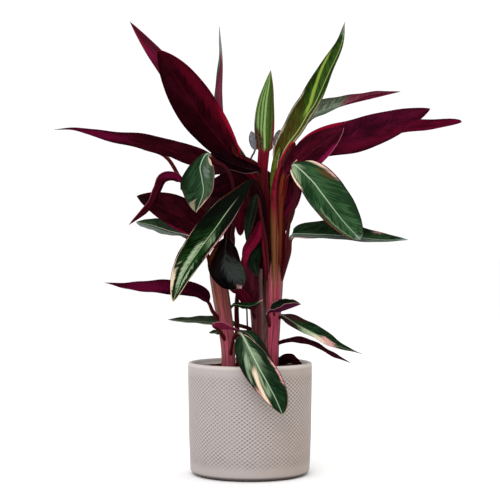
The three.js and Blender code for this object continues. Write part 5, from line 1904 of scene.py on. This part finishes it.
        midrib=Line(0x1E2A1C, (0.8, 0.8)), margin=Line(0x3A3830, (0.3, 0.3)),
        greens=(0x050805, 0x0E180E), unders=(0x1A0408, 0x300812),
    ),
    "leaf_centre_red": replace(WINE, unders=(0x4E0A20, 0x760E2C), stalks=(0x3A0A12, 0x5A1220)),
    "leaf_centre_red_back": replace(WINE, unders=(0x3A0818, 0x5C0C24)),
    # The bright rim and the crimson strip along the first half's margin below are painted glow of light
    # shining through the leaf.
    "leaf_upper_left_great": replace(
        WINE, stalks=(0x4A0614, 0x780E24), unders=(0x1A0206, 0x2E0610), rim=Line(0x7E1028, (0.9, 0.5)),
        patches=(
            Patch(Tint.BLACKISH, (-0.4, 1), (0.25, 1), Side.UNDER, 0.45, 0.12, 0.3),
            Patch(Tint.RUBY, (0.15, 0.8), (-0.95, -0.4), Side.UNDER, 0.4, 0.1, 0.35),
            Patch(Tint.CRIMSON, (-0.3, 0.24), (-1, -0.76), Side.UNDER, 0.7, 0.08),
            Patch(Tint.RUST, (-0.02, 0.07), (-0.6, -0.2), Side.UNDER, 0.6),
        ),
    ),
    "leaf_centre_dark_back": replace(
        WINE, unders=(0x0A0205, 0x160509), rim=Line(0x907874, (0.0, 0.9)), keel=0x1A060C,
    ),
    "leaf_centre_under": replace(WINE, unders=(0x18050B, 0x340A16)),
    "leaf_centre_low_green": LeafFinish(
        midrib=Line(0x2A3A28, (0.8, 0.8)), greens=(0x07140A, 0x142614), unders=(0x1A0408, 0x300812),
    ),
    "leaf_upper_left_behind": replace(WINE, unders=(0x36101C, 0x4C1222), patches=(
        Patch(Tint.CRIMSON, (0.78, 0.96), (0.3, 0.9), Side.UNDER, 0.35),
        Patch(Tint.MAGENTA, (0.68, 0.8), (0.1, 0.8), Side.UNDER, 0.6),
    )),
    "leaf_top_narrow": LeafFinish(
        greens=(0x4A5A4A, 0x72806E), unders=(0x521A2C, 0x742840), midrib=Line(0x6A7A68, (0.8, 0.8)),
        patches=(
            Patch(Tint.GREY, (0.7, 1.05), (-1, 1), Side.UNDER, 0.9),
            Patch(Tint.GREEN, (0.3, 0.62), (-1, -0.72), Side.UNDER, 0.9),
            Patch(Tint.GREEN, (0.3, 0.62), (-1, -0.72), Side.UPPER, 0.9),
        ),
    ),
    "leaf_back_spoon_left": SPOON,
    "leaf_back_spoon_right": SPOON,
    "leaf_left_low_green": LeafFinish(greens=(0x0C1206, 0x202C12), patches=(
        Patch(Tint.SAGE, (0.1, 0.85), (-1, -0.55), share=0.6),
    )),
    "leaf_soil_round": replace(WINE, unders=(0x1E050C, 0x300814)),
    "leaf_back_right_fall": BACK,
    "leaf_back_left_fall": BACK,
    "leaf_back_left_rise": BACK,
    "leaf_back_right_rise": BACK,
    "leaf_back_low": BACK,
    "leaf_inner_red": replace(WINE, unders=(0x3A0816, 0x5A0E22)),
    "sheath_centre": SHEATH,
    "sheath_middle": replace(SHEATH, greens=(0x1C0406, 0x3A0A12)),
    "sheath_left": replace(SHEATH, greens=(0x1E0408, 0x380812)),
    "sheath_left_high": replace(SHEATH, greens=(0x24040C, 0x420A18), patches=(
        Patch(Tint.CRIMSON, (-0.2, 0.5), (0.1, 0.9), share=0.3, soft=0.12, ragged=0.3),
    )),
    "sheath_core_low": replace(SHEATH, greens=(0x3A0818, 0x5E0E2C), patches=(
        Patch(Tint.BLACKISH, (0.1, 0.5), (-0.9, 0.2), share=0.6, soft=0.12),
    )),
    "sheath_right_dark": replace(
        SHEATH, greens=(0x34040E, 0x560818), margin=Line(0xA01428, (2.6, 0.8)),
        patches=(Patch(Tint.CRIMSON, (-0.3, 0.35), (-1, 1), share=0.6, soft=0.1),),
    ),
    "sheath_right_low": replace(SHEATH, greens=(0x24040C, 0x420A18), patches=(
        Patch(Tint.RUST, (0.1, 0.6), (-0.5, 0.3), share=0.3, soft=0.1, ragged=0.3),
    )),
    "sheath_left_low": replace(SHEATH, greens=(0x2A060C, 0x4A0C18)),
    "sheath_young": replace(SHEATH, greens=(0x3A0610, 0x6E0C20), patches=(
        Patch(Tint.BLACKISH, (-0.3, 0.3), (-1, 1), share=0.8, soft=0.1),
        Patch(Tint.CRIMSON, (0.4, 0.9), (0.2, 0.9), share=0.4),
    )),
    "sheath_tall": replace(SHEATH, greens=(0x3A4410, 0x5E6418), patches=(
        Patch(Tint.RUBY, (-0.5, 0.3), (-1, 1), share=0.7, soft=0.1),
        Patch(Tint.CREAM, (0.4, 0.9), (0.7, 1), share=0.5),
    )),
    "sheath_right_red": replace(
        SHEATH, greens=(0x560614, 0x84102A), midrib=Line(0x8A4A30, (0.6, 0.6)),
        patches=(
            Patch(Tint.BURGUNDY, (0.66, 1.05), (-0.2, 0.7), share=0.75, soft=0.1, streak=0.2),
            Patch(Tint.BARK, (-0.4, 0.62), (-1, 1), share=0.9, soft=0.1, streak=0.3),
            Patch(Tint.OLIVE, (-0.4, 0.6), (-1, -0.5), share=0.7, soft=0.1, streak=0.2),
            Patch(Tint.BURGUNDY, (0.1, 0.6), (0.1, 0.5), share=0.7, soft=0.1, streak=0.2),
            Patch(Tint.ROSE, (-0.4, 0.2), (-0.6, 0.8), share=0.75, soft=0.1, streak=0.3),
        ),
    ),
}

# Each cane's colours across it hold painted light and shade: brighter where the light falls, darker towards
# the shaded edge.
STALK_CANES = {
    "left_cane": CaneFinish(
        (0x8A4A46, 0x9E4456, 0xBA4C64, 0x88383E, 0x421A14),
        (0x8A4E48, 0x94503E, 0x8A4440, 0x6E3630, 0x5E2A24), heights=(215.0, 270.0),
    ),
    "right_cane": CaneFinish(
        (0x3E1E12, 0x8E3C48, 0xB4405C, 0xA23450, 0x4E161C),
        (0x3A2410, 0x5A2A1C, 0xA04A50, 0x6E3E26, 0x6A442C), heights=(262.0, 320.0),
    ),
    "centre_cane": CaneFinish((0x44141A, 0x7A3436, 0x4A1418), (0x4A101E, 0x6E2430, 0x3A0A14)),
    "back_cane": CaneFinish((0x3A0A18, 0x5A2020, 0x48201C), (0x3A0A18, 0x5A1420, 0x48101C)),
}


def main() -> None:
    """Builds the studio and every piece in turn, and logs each."""
    logging.basicConfig(level=logging.INFO, format="%(name)s: %(message)s")
    Studio().build()
    made = [Pot(height=170.5, radius=95).build(StonewareFinish())]
    made += Soil(radius=88.3, edge=162.8, crown=164.0, bottom=9.0).build(SoilFinish())
    made += [cane.build(STALK_CANES[cane.name]) for cane in CANES]
    made += [leaf.build(LOOKS.get(leaf.name, PLAIN)) for leaf in LEAVES]
    made += [sheath.build(LOOKS[sheath.name]) for sheath in SHEATHS]
    for piece in made:
        LOG.info("%s: %d faces, %.3f m tall", piece.name, len(piece.data.polygons), piece.dimensions[2])


if __name__ == "__main__":
    main()
